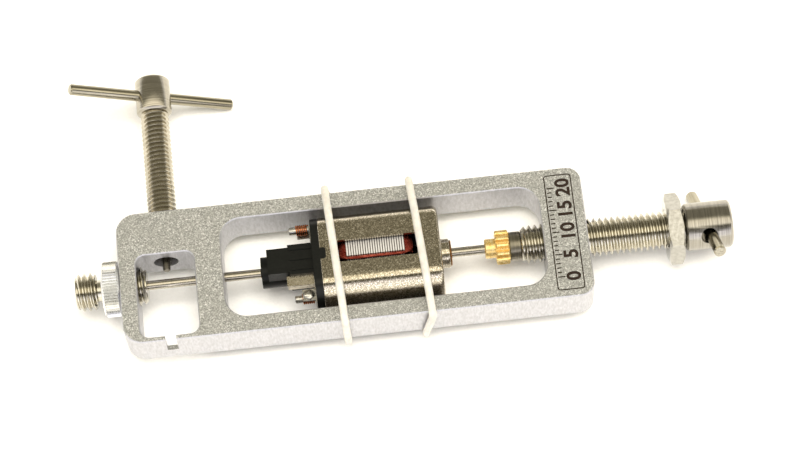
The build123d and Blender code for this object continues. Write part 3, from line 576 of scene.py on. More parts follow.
# Press screw: a hollow tip for the swivel pad, the thread, and a round head with a cross hole.
press_start, press_end = low("press_screw").x, high("press_screw").x
PRESS_HEAD_LENGTH, PRESS_HEAD_DIAMETER = 9.9, 10.0
PAD_BORE_RADIUS, PAD_BORE_DEPTH = 1.53, 4.6
press_shoulder = press_end - PRESS_HEAD_LENGTH
press_thread = thread_rows(
    press_start, press_shoulder + 0.2, PRESS_DIAMETER, PRESS_PITCH, (0.9, 0.0)
)
turned(
    "press_screw_thread",
    [
        (press_start + PAD_BORE_DEPTH, 0.0),
        (press_start + PAD_BORE_DEPTH, PAD_BORE_RADIUS),
        (press_start, PAD_BORE_RADIUS),
        *press_thread,
        (press_shoulder + 0.2, 0.0),
    ],
    along_x,
    PRESS_STEEL,
    "press_screw",
)
press_head = turned(
    "press_screw_head",
    head_rows(press_shoulder, press_end, PRESS_HEAD_DIAMETER / 2, HEAD_CHAMFER, 0.15),
    along_x,
    HEAD_STEEL,
    "press_screw",
)
bar_low, bar_high = low("press_tommy_bar"), high("press_tommy_bar")
hole_lean = atan2(bar_high.z - bar_low.z, bar_high.y - bar_low.y)
hole_axis = (0.0, -cos(hole_lean), sin(hole_lean))
HOLE_RADIUS, BAR_STATION = 1.8, 4.85
cut(
    press_head,
    "cross_hole",
    *rod((press_shoulder + BAR_STATION, 0, 0), hole_axis, 2 * PRESS_HEAD_DIAMETER, HOLE_RADIUS),
)

# Puller screw: the thread, and a round head with its bar pressed through.
puller_start, puller_end = low("puller_screw").y, high("puller_screw").y
PULLER_HEAD_LENGTH, PULLER_HEAD_DIAMETER = 8.1, 7.5
PULLER_BORE_RADIUS, PULLER_BORE_DEPTH = 0.83, 4.05
puller_shoulder = puller_end - PULLER_HEAD_LENGTH
puller_thread = thread_rows(
    puller_start, puller_shoulder + 0.2, PULLER_DIAMETER, PULLER_PITCH, (0.7, 0.0)
)
turned(
    "puller_screw_thread",
    [
        (puller_start + PULLER_BORE_DEPTH, 0.0),
        (puller_start + PULLER_BORE_DEPTH, PULLER_BORE_RADIUS),
        (puller_start, PULLER_BORE_RADIUS),
        *puller_thread,
        (puller_shoulder + 0.2, 0.0),
    ],
    along_puller,
    PULLER_STEEL,
    "puller_screw",
)
turned(
    "puller_screw_head",
    head_rows(puller_shoulder, puller_end, PULLER_HEAD_DIAMETER / 2, HEAD_CHAMFER, 0.1),
    along_puller,
    PULLER_HEAD_STEEL,
    "puller_screw",
)

# Anvil screw: a short thread outside its neck and a long one through the frame's wall.
anvil_outer, anvil_inner = low("anvil_screw").x, high("anvil_screw").x
NECK_START, NECK_LENGTH, NECK_RADIUS = 4.3, 1.3, 2.25
neck_start = anvil_outer + NECK_START
neck_end = neck_start + NECK_LENGTH
turned(
    "anvil_screw_turned",
    [
        (anvil_outer + 0.35, 0.0),
        (anvil_outer + 0.15, 1.6),
        *thread_rows(anvil_outer, neck_start, ANVIL_DIAMETER, ANVIL_PITCH, (0.8, 0.5)),
        (neck_start, NECK_RADIUS + 0.25),
        (neck_start + 0.25, NECK_RADIUS),
        (neck_end - 0.25, NECK_RADIUS),
        (neck_end, NECK_RADIUS + 0.25),
        *thread_rows(neck_end, anvil_inner, ANVIL_DIAMETER, ANVIL_PITCH, (0.5, 0.8)),
        (anvil_inner, 1.03),
        (anvil_inner - 4.9, 1.03),
        (anvil_inner - 4.9, 0.0),
    ],
    along_x,
    PRESS_STEEL,
    "anvil_screw",
)

# Thumb nut: straight knurl between two plain chamfered rims.
nut_start, nut_end = low("thumb_nut").x, high("thumb_nut").x
NUT_RADIUS, NUT_BORE, KNURL_TEETH, KNURL_DEPTH = 5.8, 4.05, 60, 0.34
KNURL_RIM = 0.45
nut_sides = KNURL_TEETH * 4
points, faces = [], []
nut_rows = [
    (nut_start, NUT_BORE, 0),
    (nut_start, NUT_RADIUS - 0.55, 0),
    (nut_start + 0.08, NUT_RADIUS - 0.45, 0),
    (nut_start + KNURL_RIM, NUT_RADIUS - 0.05, 0.4),
    (nut_start + KNURL_RIM + 0.12, NUT_RADIUS, 1),
    (nut_end - KNURL_RIM - 0.12, NUT_RADIUS, 1),
    (nut_end - KNURL_RIM, NUT_RADIUS - 0.05, 0.4),
    (nut_end - 0.08, NUT_RADIUS - 0.45, 0),
    (nut_end, NUT_RADIUS - 0.55, 0),
    (nut_end, NUT_BORE, 0),
]
for station, radius, share in nut_rows:
    for k in range(nut_sides):
        tooth = (0.0, 0.6, 1.0, 0.6)[k % 4] * KNURL_DEPTH * share
        angle = 2 * pi * k / nut_sides
        reach = radius - tooth
        points.append((station, reach * cos(angle), reach * sin(angle)))
for i in range(len(nut_rows)):
    following = (i + 1) % len(nut_rows)
    for k in range(nut_sides):
        nearby = (k + 1) % nut_sides
        faces.append(
            (
                i * nut_sides + k,
                i * nut_sides + nearby,
                following * nut_sides + nearby,
                following * nut_sides + k,
            )
        )
make("thumb_nut_knurled", points, faces, KNURLED, "thumb_nut", 25)

# Rotor --------------------------------------------------------------------------------------

ROTOR_ANGLE, POLES = 43.5, 3
STACK_RADIUS, SHOE_INNER, HUB_RADIUS, POLE_STEM, POLE_GAP = 6.5, 5.5, 2.4, 2.4, 1.6
stack_start, stack_end = low("laminations").x, high("laminations").x


def pole_outline(inset):
    """Outline of one sheet: three stems with wide shoes, drawn in by an inset."""
    outline = []
    gap = asin((POLE_GAP / 2 + inset) / STACK_RADIUS)
    half = pi / POLES - gap
    tip_inner = SHOE_INNER + inset
    hub = HUB_RADIUS - inset
    stem = POLE_STEM / 2 - inset
    for pole in range(POLES):
        middle = radians(ROTOR_ANGLE) + 2 * pi * pole / POLES
        for k in range(13):
            angle = middle - half + 2 * half * k / 12
            outline.append(((STACK_RADIUS - inset), angle))
        for k in range(5):
            angle = middle + half - (half - asin(stem / tip_inner)) * k / 4
            outline.append((tip_inner, angle))
        outline.append((hub, middle + asin(stem / hub)))
        next_middle = middle + 2 * pi / POLES
        for k in range(1, 4):
            a0, a1 = middle + asin(stem / hub), next_middle - asin(stem / hub)
            outline.append((hub, a0 + (a1 - a0) * k / 4))
        outline.append((hub, next_middle - asin(stem / hub)))
        for k in range(5):
            angle = next_middle - asin(stem / tip_inner)
            angle -= (half - asin(stem / tip_inner)) * k / 4
            outline.append((tip_inner, angle))
    return [(r * cos(a), r * sin(a)) for r, a in outline]


def swept(sections):
    """Points and faces of a closed piece through sections of (x, outline in y and z)."""
    points = [(x, y, z) for x, outline in sections for y, z in outline]
    size = len(sections[0][1])
    faces = []
    for i in range(len(sections) - 1):
        for k in range(size):
            nearby = (k + 1) % size
            a, b = i * size + k, i * size + nearby
            faces.append((a, b, b + size, a + size))
    last = (len(sections) - 1) * size
    return points, faces, tuple(range(size)), tuple(range(last, last + size))


SHEET_GAP = 0.085
# How far each seam between sheets is drawn in, and its width beside the gap's.
SEAM_DEPTH, SEAM_SHARE = 0.3, 0.6
full, drawn_in = pole_outline(0.0), pole_outline(SEAM_DEPTH)
pitch = (stack_end - stack_start) / SHEETS_IN_STACK
sections = []
for sheet in range(SHEETS_IN_STACK):
    x = stack_start + sheet * pitch
    sections += [(x + SHEET_GAP, full), (x + pitch - SHEET_GAP, full)]
    if sheet < SHEETS_IN_STACK - 1:
        seam, gap = x + pitch, SHEET_GAP * SEAM_SHARE
        sections += [(seam - gap, drawn_in), (seam + gap, drawn_in)]
sections[0] = (stack_start, full)
sections[-1] = (stack_end, full)
points, faces, first, last = swept(sections)
make("lamination_stack", points, faces + [first, last], SHEETS, "laminations", 30)

# Coils: loops of enamelled wire round each pole, wound between the hub and the shoes.
WIRE_DIAMETER, WINDING_REACH, WINDING_OVERHANG = 0.27, 5.3, 1.75
# Share of a diameter between rows, and the turns that show in each row.
ROW_SHARE, TURNS_SHOWN = 0.9, 3
# Points along each long side, where the wire wanders.
LONG_SIDE_POINTS = (4.0, 2.0, 0.0, -2.0, -4.0)
stack_middle, stack_half = (stack_start + stack_end) / 2, (stack_end - stack_start) / 2


def tube(path, normals, radius, sides=6, closed=True):
    """Points and faces of a round wire along a path, with a normal at each point."""
    points, faces = [], []
    count = len(path)
    for i in range(count):
        before = path[i - 1] if (closed or i) else path[i]
        after = path[(i + 1) % count] if (closed or i < count - 1) else path[i]
        tangent = (after - before).normalized()
        side = tangent.cross(normals[i]).normalized()
        over = side.cross(tangent)
        for k in range(sides):
            angle = 2 * pi * k / sides
            points.append(path[i] + (side * cos(angle) + over * sin(angle)) * radius)
    for i in range(count if closed else count - 1):
        following = (i + 1) % count
        for k in range(sides):
            nearby = (k + 1) % sides
            near, far = i * sides, following * sides
            faces.append((near + k, near + nearby, far + nearby, far + k))
    if not closed:
        faces += [tuple(range(sides)), tuple(range((count - 1) * sides, count * sides))]
    return points, faces


def gather(parts):
    """Join several lots of points and faces into one."""
    points, faces = [], []
    for some_points, some_faces in parts:
        offset = len(points)
        points += list(some_points)
        faces += [tuple(index + offset for index in face) for face in some_faces]
    return points, faces


loops = []
for pole in range(POLES):
    middle = radians(ROTOR_ANGLE) + 2 * pi * pole / POLES
    outward = Vector((0, cos(middle), sin(middle)))
    sideways = Vector((0, -sin(middle), cos(middle)))
    height = HUB_RADIUS + 0.25
    while height < WINDING_REACH - 0.3:
        widest = min(height * tan(radians(58)) - 0.25, sqrt(WINDING_REACH**2 - height**2))
        turns = int((widest - POLE_STEM / 2 - 0.08) / WIRE_DIAMETER)
        for turn in range(max(0, turns - TURNS_SHOWN), turns):
            offset = 0.1 + (turn + 0.5) * WIRE_DIAMETER
            half_width = POLE_STEM / 2 + offset
            half_length = stack_half + 0.12 + offset * WINDING_OVERHANG / 3.2
            corner = min(offset, half_length - stack_half + 0.6, half_width) + 0.3
            path = []
            for sx, sy, start in ((1, 1, 0), (-1, 1, 90), (-1, -1, 180), (1, -1, 270)):
                for k in range(5):
                    angle = radians(start + 90 * k / 4)
                    path.append(
                        (
                            sx * (half_length - corner) + corner * cos(angle),
                            sy * (half_width - corner) + corner * sin(angle),
                        )
                    )
                if start in (0, 180):
                    path += [(sx * x, sy * half_width) for x in LONG_SIDE_POINTS]
            wander = [
                noise.noise(Vector((x * 0.45, t * 0.8 + turn, height * 3 + pole * 7)))
                for x, t in path
            ]
            centre_line = [
                Vector((stack_middle, 0, 0))
                + Vector((1, 0, 0)) * x
                + sideways * (t * (1 - 0.015 * w))
                + outward * (height + 0.09 * w)
                for (x, t), w in zip(path, wander)
            ]
            loops.append(tube(centre_line, [outward] * len(centre_line), WIRE_DIAMETER / 2, 6))
        height += WIRE_DIAMETER * ROW_SHARE
make("wound_coils", *gather(loops), WIRE, "windings", 60)

# Pinion: twelve teeth with rounded roots and broken edges, and a plain hub.
PINION_TEETH, PINION_TIP, PINION_ROOT, PINION_HUB, SHAFT_RADIUS = 12, 3.6, 2.55, 2.05, 1.0
PINION_HUB_LENGTH = 2.25
pinion_start, pinion_end = low("pinion").x, high("pinion").x
pinion_step = pinion_start + PINION_HUB_LENGTH
TOOTH_FORM = (
    (0.0, 0.0), (0.09, 0.02), (0.16, 0.14), (0.2, 0.38), (0.25, 0.66), (0.33, 0.9), (0.41, 1.0),
    (0.5, 1.0), (0.59, 1.0), (0.67, 0.9), (0.75, 0.66), (0.8, 0.38), (0.84, 0.14), (0.91, 0.02),
)


def gear_outline(cap, floor_radius=None):
    """Toothed outline, with its radius kept under a cap."""
    outline = []
    for tooth in range(PINION_TEETH):
        for share, rise in TOOTH_FORM:
            angle = 2 * pi * (tooth + share) / PINION_TEETH
            radius = min(PINION_ROOT + (PINION_TIP - PINION_ROOT) * rise, cap)
            if floor_radius is not None:
                radius = floor_radius
            outline.append((radius * cos(angle), radius * sin(angle)))
    return outline


pinion_sections = [
    (pinion_start, gear_outline(9, SHAFT_RADIUS)),
    (pinion_start, gear_outline(9, PINION_HUB - 0.2)),
    (pinion_start + 0.2, gear_outline(9, PINION_HUB)),
    (pinion_step - 0.05, gear_outline(9, PINION_HUB)),
    (pinion_step, gear_outline(9, PINION_HUB + 0.05)),
    (pinion_step, gear_outline(PINION_TIP - 0.3)),
    (pinion_step + 0.22, gear_outline(PINION_TIP)),
    (pinion_end - 0.22, gear_outline(PINION_TIP)),
    (pinion_end, gear_outline(PINION_TIP - 0.3)),
    (pinion_end, gear_outline(9, SHAFT_RADIUS)),
]
points, faces, first, last = swept(pinion_sections)
size = len(first)
bore = [(last[k], last[(k + 1) % size], first[(k + 1) % size], first[k]) for k in range(size)]
make("cut_pinion", points, faces + bore, BRASS, "pinion", 35)

# Motor can ----------------------------------------------------------------------------------

CAN_RADIUS, CAN_FLAT, CAN_WALL, CAN_BEND, CAN_EDGE = 10.2, 7.7, 0.8, 3.0, 0.9
BOSS_RADIUS, BOSS_EDGE, BEARING_RADIUS = 3.05, 0.4, 2.3
BOSS_LENGTH = 1.9
can_rear, boss_face = low("motor_can").x, high("motor_can").x
can_front = boss_face - BOSS_LENGTH


def can_outline(inset, shape_points=(10, 8, 8)):
    """Drawn outline with two flats and soft bends between flat and round."""
    on_round, on_bend, on_flat = shape_points
    radius, flat, bend = CAN_RADIUS - inset, CAN_FLAT - inset, max(CAN_BEND - inset, 0.3)
    centre_y = sqrt((radius - bend) ** 2 - (flat - bend) ** 2)
    turn = atan2(flat - bend, centre_y)
    quarter = [
        (radius * cos(turn * k / on_round), radius * sin(turn * k / on_round))
        for k in range(on_round)
    ]
    for k in range(on_bend):
        angle = turn + (pi / 2 - turn) * k / on_bend
        quarter.append((centre_y + bend * cos(angle), flat - bend + bend * sin(angle)))
    quarter += [(centre_y * (1 - k / on_flat), flat) for k in range(on_flat)]
    top = quarter + [(0.0, flat)] + [(-y, z) for y, z in reversed(quarter[1:])]
    return top + [(-y, -z) for y, z in top]


def round_like(outline, radius):
    """Circle whose points lie at the same angles as an outline's."""
    scale = [radius / sqrt(y * y + z * z) for y, z in outline]
    return [(y * s, z * s) for (y, z), s in zip(outline, scale)]


outer = can_outline(0.0)
inner = can_outline(CAN_WALL)
# The broken edge at the rear rim, the plain wall short of the front shoulder, and the steps
# along that wall and round that shoulder.
RIM_EDGE, WALL_SHORT_OF_FRONT, WALL_STEPS, SHOULDER_STEPS = 0.12, 2.4, 12, 10
plain_wall = can_front - can_rear - WALL_SHORT_OF_FRONT
can_sections = [
    (can_rear, inner),
    (can_rear, can_outline(RIM_EDGE)),
    (can_rear + RIM_EDGE, outer),
]
for k in range(1, WALL_STEPS + 1):
    can_sections.append((can_rear + RIM_EDGE + plain_wall * k / WALL_STEPS, outer))
for k in range(SHOULDER_STEPS + 1):
    angle = pi / 2 * k / SHOULDER_STEPS
    inset = CAN_EDGE * (1 - cos(angle))
    can_sections.append((can_front - CAN_EDGE + CAN_EDGE * sin(angle), can_outline(inset)))
can_sections += [
    (can_front, round_like(outer, BOSS_RADIUS + 0.5)),
    (can_front + 0.12, round_like(outer, BOSS_RADIUS + 0.12)),
    (can_front + 0.5, round_like(outer, BOSS_RADIUS)),
]
for k in range(6):
    angle = pi / 2 * k / 5
    reach = BOSS_RADIUS - BOSS_EDGE * (1 - cos(angle))
    can_sections.append((boss_face - BOSS_EDGE + BOSS_EDGE * sin(angle), round_like(outer, reach)))
can_sections += [
    (boss_face, round_like(outer, BEARING_RADIUS)),
    (can_front - CAN_WALL, round_like(outer, BEARING_RADIUS)),
    (can_front - CAN_WALL, can_outline(CAN_WALL + 0.6)),
    (can_front - CAN_WALL - 0.6, inner),
]
points, faces, first, last = swept(can_sections)
size = len(first)
faces += [(last[k], last[(k + 1) % size], first[(k + 1) % size], first[k]) for k in range(size)]
# Deep drawing leaves small wrinkles across the front shoulder.
WRINKLE_HEIGHT, WRINKLE_SPACING = 0.07, 2.6
wrinkled = []
for x, y, z in points:
    near = max(0.0, 1 - abs(x - (can_front - 1.0)) / 0.7)
    spot = Vector((0.0, y * WRINKLE_SPACING, z * WRINKLE_SPACING))
    lump = noise.noise(spot) * WRINKLE_HEIGHT * near
    wrinkled.append((x, y * (1 - lump / CAN_RADIUS), z * (1 - lump / CAN_FLAT)))
drawn_can = make("drawn_can", wrinkled, faces, CAN_NICKEL, "motor_can", 40)


def slab(x0, x1, half_width, corner, z0, z1, steps=6):
    """Points and faces of a cutting slab with rounded corners, upright along Z."""
    outline = []
    middle, half = (x0 + x1) / 2, (x1 - x0) / 2
    for sx, sy, start in ((1, 1, 0), (-1, 1, 90), (-1, -1, 180), (1, -1, 270)):
        for k in range(steps + 1):
            angle = radians(start + 90 * k / steps)
            outline.append(
                (
                    middle + sx * (half - corner) + corner * cos(angle),
                    sy * (half_width - corner) + corner * sin(angle),
                )
            )
    size = len(outline)
    points = [(x, y, z) for z in (z0, z1) for x, y in outline]
    faces = [(k, (k + 1) % size, size + (k + 1) % size, size + k) for k in range(size)]
    return points, faces + [tuple(reversed(range(size))), tuple(range(size, 2 * size))]


WINDOW_FROM_REAR, WINDOW_LENGTH, WINDOW_HALF_WIDTH = 3.8, 16.4, 2.4
NOTCH_LENGTH, NOTCH_HALF_WIDTH = 1.2, 1.25
window_start = can_rear + WINDOW_FROM_REAR
cut(
    drawn_can,
    "can_window",
    *slab(window_start, window_start + WINDOW_LENGTH, WINDOW_HALF_WIDTH, 0.4, -9, 9),
)
cut(
    drawn_can,
    "can_notch",
    *slab(can_rear - 2, can_rear + NOTCH_LENGTH, NOTCH_HALF_WIDTH, 0.5, -9, 9),
)

# End bell and brush gear --------------------------------------------------------------------


def soften(node, width, segments=3):
    """Rounded edges on a CAD node that catch the light."""
    modifier = NODES[node].modifiers.new("softened_edges", "BEVEL")
    modifier.width = width * MM
    modifier.segments = segments
    modifier.limit_method = "ANGLE"
    modifier.angle_limit = radians(40)
    modifier.harden_normals = False


soften("frame", 0.14)
soften("motor_endbell", 0.16)
soften("lock_nut", 0.16)
soften("press_tommy_bar", 0.4, 4)
soften("puller_tommy_bar", 0.4, 4)
soften("brush_holder_front", 0.06, 2)
soften("brush_holder_back", 0.06, 2)

# Front bearing: its collar stands out of the can's boss and is staked round its rim.
bearing_start, bearing_end = low("bearing_front").x, high("bearing_front").x
collar = bearing_end + 0.3
turned(
    "staked_bearing",
    [
        (bearing_start, SHAFT_RADIUS + 0.03),
        (bearing_start, BEARING_RADIUS - 0.03),
        (bearing_end + 0.02, BEARING_RADIUS - 0.03),
        (bearing_end + 0.02, BEARING_RADIUS + 0.35),
        (bearing_end + 0.14, BEARING_RADIUS + 0.42),
        (collar - 0.08, BEARING_RADIUS + 0.34),
        (collar, BEARING_RADIUS + 0.2),
        (collar, SHAFT_RADIUS + 0.25),
        (collar - 0.15, SHAFT_RADIUS + 0.03),
        (bearing_start, SHAFT_RADIUS + 0.03),
    ],
    along_x,
    BRONZE,
    "bearing_front",
)

# Chokes: tinned cores, each wound with a few turns of bare copper.
CHOKE_TURNS, CHOKE_WIRE = 6, 0.36
for side in ("back", "front"):
    core_low, core_high = low(f"choke_core_{side}"), high(f"choke_core_{side}")
    coil_low, coil_high = low(f"choke_coil_{side}"), high(f"choke_coil_{side}")
    middle = (core_low + core_high) / 2
    radius = (core_high.z - core_low.z) / 2
    steps = CHOKE_TURNS * 20
    path, normals = [], []
    start, end = coil_low.x + CHOKE_WIRE / 2, coil_high.x - CHOKE_WIRE / 2
    for k in range(steps + 1):
        angle = 2 * pi * k / 20
        outward = Vector((0, cos(angle), sin(angle)))
        unevenness = 0.05 * noise.noise(Vector((k * 0.05, 3.0, radius)))
        reach = radius + CHOKE_WIRE / 2 + 0.02 + unevenness
        on_axis = Vector((start + (end - start) * k / steps, middle.y, middle.z))
        path.append(on_axis + outward * reach)
        normals.append(outward)
    make(
        f"choke_wire_{side}",
        *tube(path, normals, CHOKE_WIRE / 2, 8, closed=False),
        BARE_COPPER,
        f"choke_coil_{side}",
        60,
    )
    rows = [
        (core_low.x + 0.2, 0.0), (core_low.x + 0.2, radius - 0.42), (core_low.x, radius - 0.38),
        (core_low.x, radius - 0.12), (core_low.x + 0.12, radius), (core_high.x, radius),
        (core_high.x, 0.0),
    ]
    turned(
        f"choke_bobbin_{side}",
        rows,
        lambda x, u, v, middle=middle: (x, middle.y + u, middle.z + v),
        SOLDER,
        f"choke_core_{side}",
    )

    # The front lug, with nothing over it, carries a pebbly lump of solder.
    if side == "back":
        continue
    lug_low, lug_high = low(f"terminal_{side}"), high(f"terminal_{side}")
    lump_centre = Vector(((lug_low.x + 1.3), (lug_low.y + lug_high.y) / 2, lug_high.z - 0.1))
    ball = bmesh.new()
    bmesh.ops.create_icosphere(ball, subdivisions=4, radius=1.0)
    lump_points = []
    for vertex in ball.verts:
        c = vertex.co
        swell = 1 + 0.16 * noise.noise(c * 2.1 + lump_centre * 0.3) + 0.05 * noise.noise(c * 7)
        lump_points.append(
            tuple(lump_centre + Vector((c.x * 1.25, c.y * 1.15, max(c.z, -0.2) * 0.6)) * swell)
        )
    lump_faces = [tuple(v.index for v in f.verts) for f in ball.faces]
    ball.free()
    make(f"solder_{side}", lump_points, lump_faces, SOLDER, f"terminal_{side}", 60, "frame")

# Elastic bands ------------------------------------------------------------------------------

BAND_RADIUS = 0.82


def smooth_loop(corners, per_span=10):
    """Closed line through corners, rounded by a quadratic B-spline."""
    line = []
    count = len(corners)
    for i in range(count):
        a = (corners[i - 1] + corners[i]) / 2
        b = corners[i]
        c = (corners[i] + corners[(i + 1) % count]) / 2
        for k in range(per_span):
            t = k / per_span
            line.append(a * (1 - t) ** 2 + b * 2 * t * (1 - t) + c * t * t)
    return line


# Centre lines, as (x, y, z): over the can's top, round the front rail, under the can, and back.
BAND_LINES = {
    "band_left": (-53.6, -52.1, -51.9, -52.4),
    "band_right": (-35.9, -34.0, -35.6, -34.6),
}
for name, (back_x, front_x, front_low_x, back_low_x) in BAND_LINES.items():
    band_low, band_high = low(name), high(name)
    over, under = band_high.z - BAND_RADIUS, band_low.z + BAND_RADIUS
    front_y, back_y = band_low.y + BAND_RADIUS, band_high.y - BAND_RADIUS
    slope = (front_x - back_x) / (front_y - back_y)

    def on_top(y, slope=slope, back_x=back_x, back_y=back_y):
        return back_x + slope * (y - back_y)

    rail, edge, bend = 5.0, BAND_RADIUS, CAN_RADIUS - 3.3
    corners = [
        (on_top(-2.0), -2.0, over),
        (on_top(-5.0), -5.0, over),
        (on_top(-7.0), -7.0, over - 0.12),
        (on_top(-9.5), -9.5, over - 1.05),
        (on_top(front_y + 1.2), front_y + 1.2, rail + edge + 0.35),
        (front_x, front_y + 0.1, rail + edge - 0.15),
        (front_x, front_y, rail - 0.6),
        ((front_x + front_low_x) / 2, front_y - 0.05, 0.0),
        (front_low_x, front_y, -rail + 0.6),
        (front_low_x, front_y + 0.1, -rail - edge + 0.15),
        (front_low_x, front_y + 1.2, -rail - edge - 0.35),
        (front_low_x, -9.5, under + 1.05),
        (front_low_x, -7.0, under + 0.12),
        (front_low_x, -3.0, under),
        (back_low_x, 3.0, under),
        (back_low_x, 7.0, under + 0.12),
        (back_low_x, 9.5, under + 1.05),
        (back_low_x, back_y - 1.2, -rail - edge - 0.35),
        (back_low_x, back_y - 0.1, -rail - edge + 0.15),
        (back_low_x, back_y, -rail + 0.6),
        ((back_x + back_low_x) / 2, back_y, 0.0),
        (back_x, back_y, rail - 0.6),
        (back_x, back_y - 0.1, rail + edge - 0.15),
        (on_top(back_y - 1.2), back_y - 1.2, rail + edge + 0.35),
        (on_top(9.5), 9.5, over - 1.05),
        (on_top(7.0), 7.0, over - 0.12),
        (on_top(5.0), 5.0, over),
        (on_top(2.0), 2.0, over),
    ]
    line = smooth_loop([Vector(c) for c in corners])
    normals = [Vector((1, 0, 0))] * len(line)
    points, faces = tube(line, normals, BAND_RADIUS, 20)
    make(f"silicone_{name}", points, faces, SILICONE, name, 60)

# Scale on the frame's end --------------------------------------------------------------------

SCALE_LEFT, SCALE_RIGHT, SCALE_HALF_LENGTH, SCALE_CORNER = -7.8, -2.0, 13.0, 0.7
SCALE_LINE, SCALE_RAISED, SCALE_START = 0.24, 0.02, -10.0
INK = plain_solid("dark_filled_engraving", "#1c1512", "#30261f", 0.6, 0.3, 0.01, 0.2)
frame_top = high("frame").z


def raised(outline, hole=None):
    """Thin closed plate on the frame's top, from an outline in x and y and one to leave out."""
    rings = [outline] if hole is None else [outline, hole]
    size = len(outline)
    points = [
        (x, y, frame_top + z)
        for ring in rings
        for z in (-SCALE_RAISED, SCALE_RAISED)
        for x, y in ring
    ]
    faces = []
    for ring in range(len(rings)):
        base = ring * 2 * size
        for k in range(size):
            nearby = (k + 1) % size
            faces.append((base + k, base + nearby, base + size + nearby, base + size + k))
    if hole is None:
        return points, faces + [tuple(range(size)), tuple(range(size, 2 * size))]
    for z in (0, size):
        for k in range(size):
            nearby = (k + 1) % size
            faces.append((z + k, z + nearby, 2 * size + z + nearby, 2 * size + z + k))
    return points, faces


def rounded_box(inset):
    """Outline of the scale's frame, drawn in by an inset."""
    outline = []
    middle = (SCALE_LEFT + SCALE_RIGHT) / 2
    half_width = (SCALE_RIGHT - SCALE_LEFT) / 2 - SCALE_CORNER
    half_length = SCALE_HALF_LENGTH - SCALE_CORNER
    for sx, sy, start in ((1, 1, 0), (-1, 1, 90), (-1, -1, 180), (1, -1, 270)):
        for k in range(7):
            angle = radians(start + 15 * k)
            reach = SCALE_CORNER - inset
            outline.append(
                (
                    middle + sx * half_width + reach * cos(angle),
                    sy * half_length + reach * sin(angle),
                )
            )
    return outline


def bar(x0, x1, y0, y1):
    return [(x0, y0), (x1, y0), (x1, y1), (x0, y1)]


def number(value, middle_y, foot_x, height):
    """Points and faces of a number that reads along Y, with its foot towards +X."""
    curve = bpy.data.curves.new("number", "FONT")
    curve.body = str(value)
    curve.align_x = "CENTER"
    curve.extrude = SCALE_RAISED
    curve.offset = 0.03
    curve.resolution_u = 4
    written = bpy.data.objects.new("number", curve)
    bpy.context.scene.collection.objects.link(written)
    graph = bpy.context.evaluated_depsgraph_get()
    mesh = bpy.data.meshes.new_from_object(written.evaluated_get(graph))
    foot = min(v.co.y for v in mesh.vertices)
    scale = height / (max(v.co.y for v in mesh.vertices) - foot)
    points = [
        (foot_x - (v.co.y - foot) * scale, middle_y + v.co.x * scale, frame_top + v.co.z)
        for v in mesh.vertices
    ]
    faces = [tuple(face.vertices) for face in mesh.polygons]
    bpy.data.objects.remove(written)
    bpy.data.meshes.remove(mesh)
    return points, faces


marks = [raised(rounded_box(0.0), rounded_box(SCALE_LINE))]
for tick in range(21):
    reach = 1.5 if tick % 5 == 0 else 0.9
    y = SCALE_START + tick
    marks.append(raised(bar(SCALE_LEFT + 0.45, SCALE_LEFT + 0.45 + reach, y - 0.13, y + 0.13)))
    if tick % 5 == 0:
        marks.append(number(tick, y, SCALE_RIGHT - 0.55, 3.1))
make("engraved_scale", *gather(marks), INK, "frame", 30, "frame")

bpy.context.scene.view_settings.view_transform = "Standard"

# Floor --------------------------------------------------------------------------------------

FLOOR_Z = -9.45
floor_mesh = bpy.data.meshes.new("floor")
side = 3.0
floor_mesh.from_pydata(
    [(x * side, y * side, FLOOR_Z * MM) for x, y in ((-1, -1), (1, -1), (1, 1), (-1, 1))],
    [],
    [(0, 1, 2, 3)],
)
floor_piece = bpy.data.objects.new("floor", floor_mesh)
bpy.context.scene.collection.objects.link(floor_piece)
paper, tree = blank("white_paper")
fibres = grain(tree, place_of(tree), 0.6, 2.0)
finish_material(
    tree,
    add(
        tree,
        "ShaderNodeBsdfDiffuse",
        {"Color": ramp(tree, fibres, (0.3, "#f6f6f6"), (0.7, "#fbfbfb"))},
    ),
)
floor_mesh.materials.append(paper)

# Light --------------------------------------------------------------------------------------

world = bpy.data.worlds.new("studio")
bpy.context.scene.world = world
world.use_nodes = True
tree = world.node_tree
tree.nodes.clear()
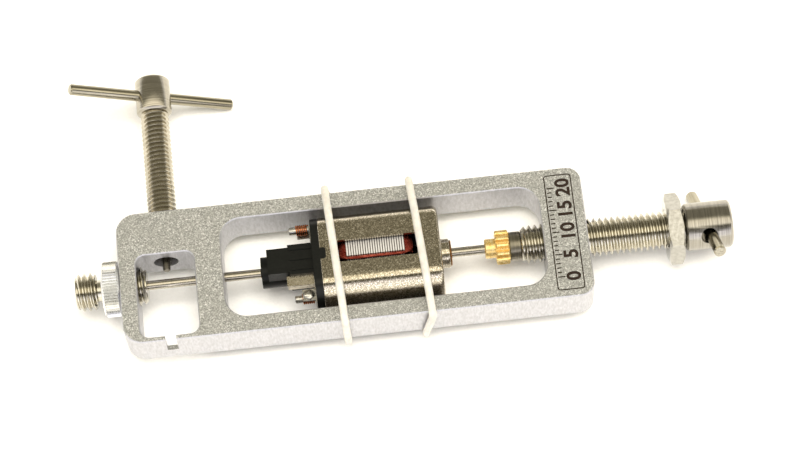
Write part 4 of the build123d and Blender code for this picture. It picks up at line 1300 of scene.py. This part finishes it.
# The room's tones run in bands round the X axis, from the back horizon over the top to the front.
way = add(tree, "ShaderNodeSeparateXYZ", {0: add(tree, "ShaderNodeTexCoord").outputs["Generated"]})
turned_up = add(
    tree,
    "ShaderNodeMath",
    {0: way.outputs["Z"], 1: way.outputs["Y"]},
    operation="ARCTAN2",
).outputs[0]
sky = ramp(
    tree,
    spread(tree, turned_up, 0.0, 1.0, 0.0, pi),
    (0.0, "#fbf6ea"),
    (0.06, "#f0e8d2"),
    (0.12, "#979282"),
    (0.4, "#908b7a"),
    (0.47, "#cfc8b6"),
    (0.62, "#ddd7c9"),
    (0.68, "#6a675c"),
    (0.74, "#8a867c"),
    (0.8, "#dddbe0"),
    (1.0, "#f4f2f6"),
)
low_down = spread(tree, way.outputs["Z"], 1.0, 0.0, 0.05, 0.3)
sky = mixed(tree, low_down, sky, colour("#f6f4f0"))
lamps = ramp(
    tree,
    spread(tree, turned_up, 0.0, 1.0, 0.0, pi),
    (0.38, "#a0a0a0"),
    (0.48, "#f2f2f2"),
    (0.62, "#f2f2f2"),
    (0.67, "#989898"),
    (0.77, "#989898"),
    (0.85, "#d8d8d8"),
)
brightness = spread(tree, lamps, 0.0, 3.5)
background = add(tree, "ShaderNodeBackground", {"Color": sky, "Strength": brightness})
add(tree, "ShaderNodeOutputWorld", {"Surface": background.outputs[0]})


def soft_box(name, centre, size, power, tint="#ffffff", aim=(-0.04, 0.0, 0.0)):
    """Square area light in metres, facing the tool."""
    data = bpy.data.lights.new(name, "AREA")
    data.shape = "RECTANGLE"
    data.size, data.size_y = size
    data.energy = power
    data.color = colour(tint)[:3]
    lamp = bpy.data.objects.new(name, data)
    bpy.context.scene.collection.objects.link(lamp)
    lamp.location = centre
    # The room's bands give the metals their reflections, and the lamps only light and shade.
    lamp.visible_glossy = False
    lamp.rotation_euler = (Vector(aim) - Vector(centre)).to_track_quat("-Z", "Y").to_euler()
    return lamp


soft_box("key", (-0.04, -0.1, 0.9), (0.5, 0.4), 6.5, "#fffaf0")
soft_box("side", (0.5, 0.05, 0.75), (0.3, 0.4), 2.4, "#fff6e6")

# Camera -------------------------------------------------------------------------------------

AZIMUTH, ELEVATION, ROLL = radians(-1.50), radians(67.59), radians(-4.79)
DISTANCE = 0.6336
TARGET = Vector((-0.0389, 0.00482, 0.0))
back = Vector(
    (sin(AZIMUTH) * cos(ELEVATION), -cos(AZIMUTH) * cos(ELEVATION), sin(ELEVATION))
)
level = Vector((cos(AZIMUTH), sin(AZIMUTH), 0))
upright = back.cross(level)
rightward = level * cos(ROLL) + upright * sin(ROLL)
upward_axis = upright * cos(ROLL) - level * sin(ROLL)
camera_data = bpy.data.cameras.new("camera")
camera_data.lens = 135.7
camera_data.sensor_width = 36
camera = bpy.data.objects.new("camera", camera_data)
bpy.context.scene.collection.objects.link(camera)
camera.matrix_world = Matrix.Translation(TARGET + back * DISTANCE) @ Matrix(
    (rightward, upward_axis, back)
).transposed().to_4x4()
bpy.context.scene.camera = camera
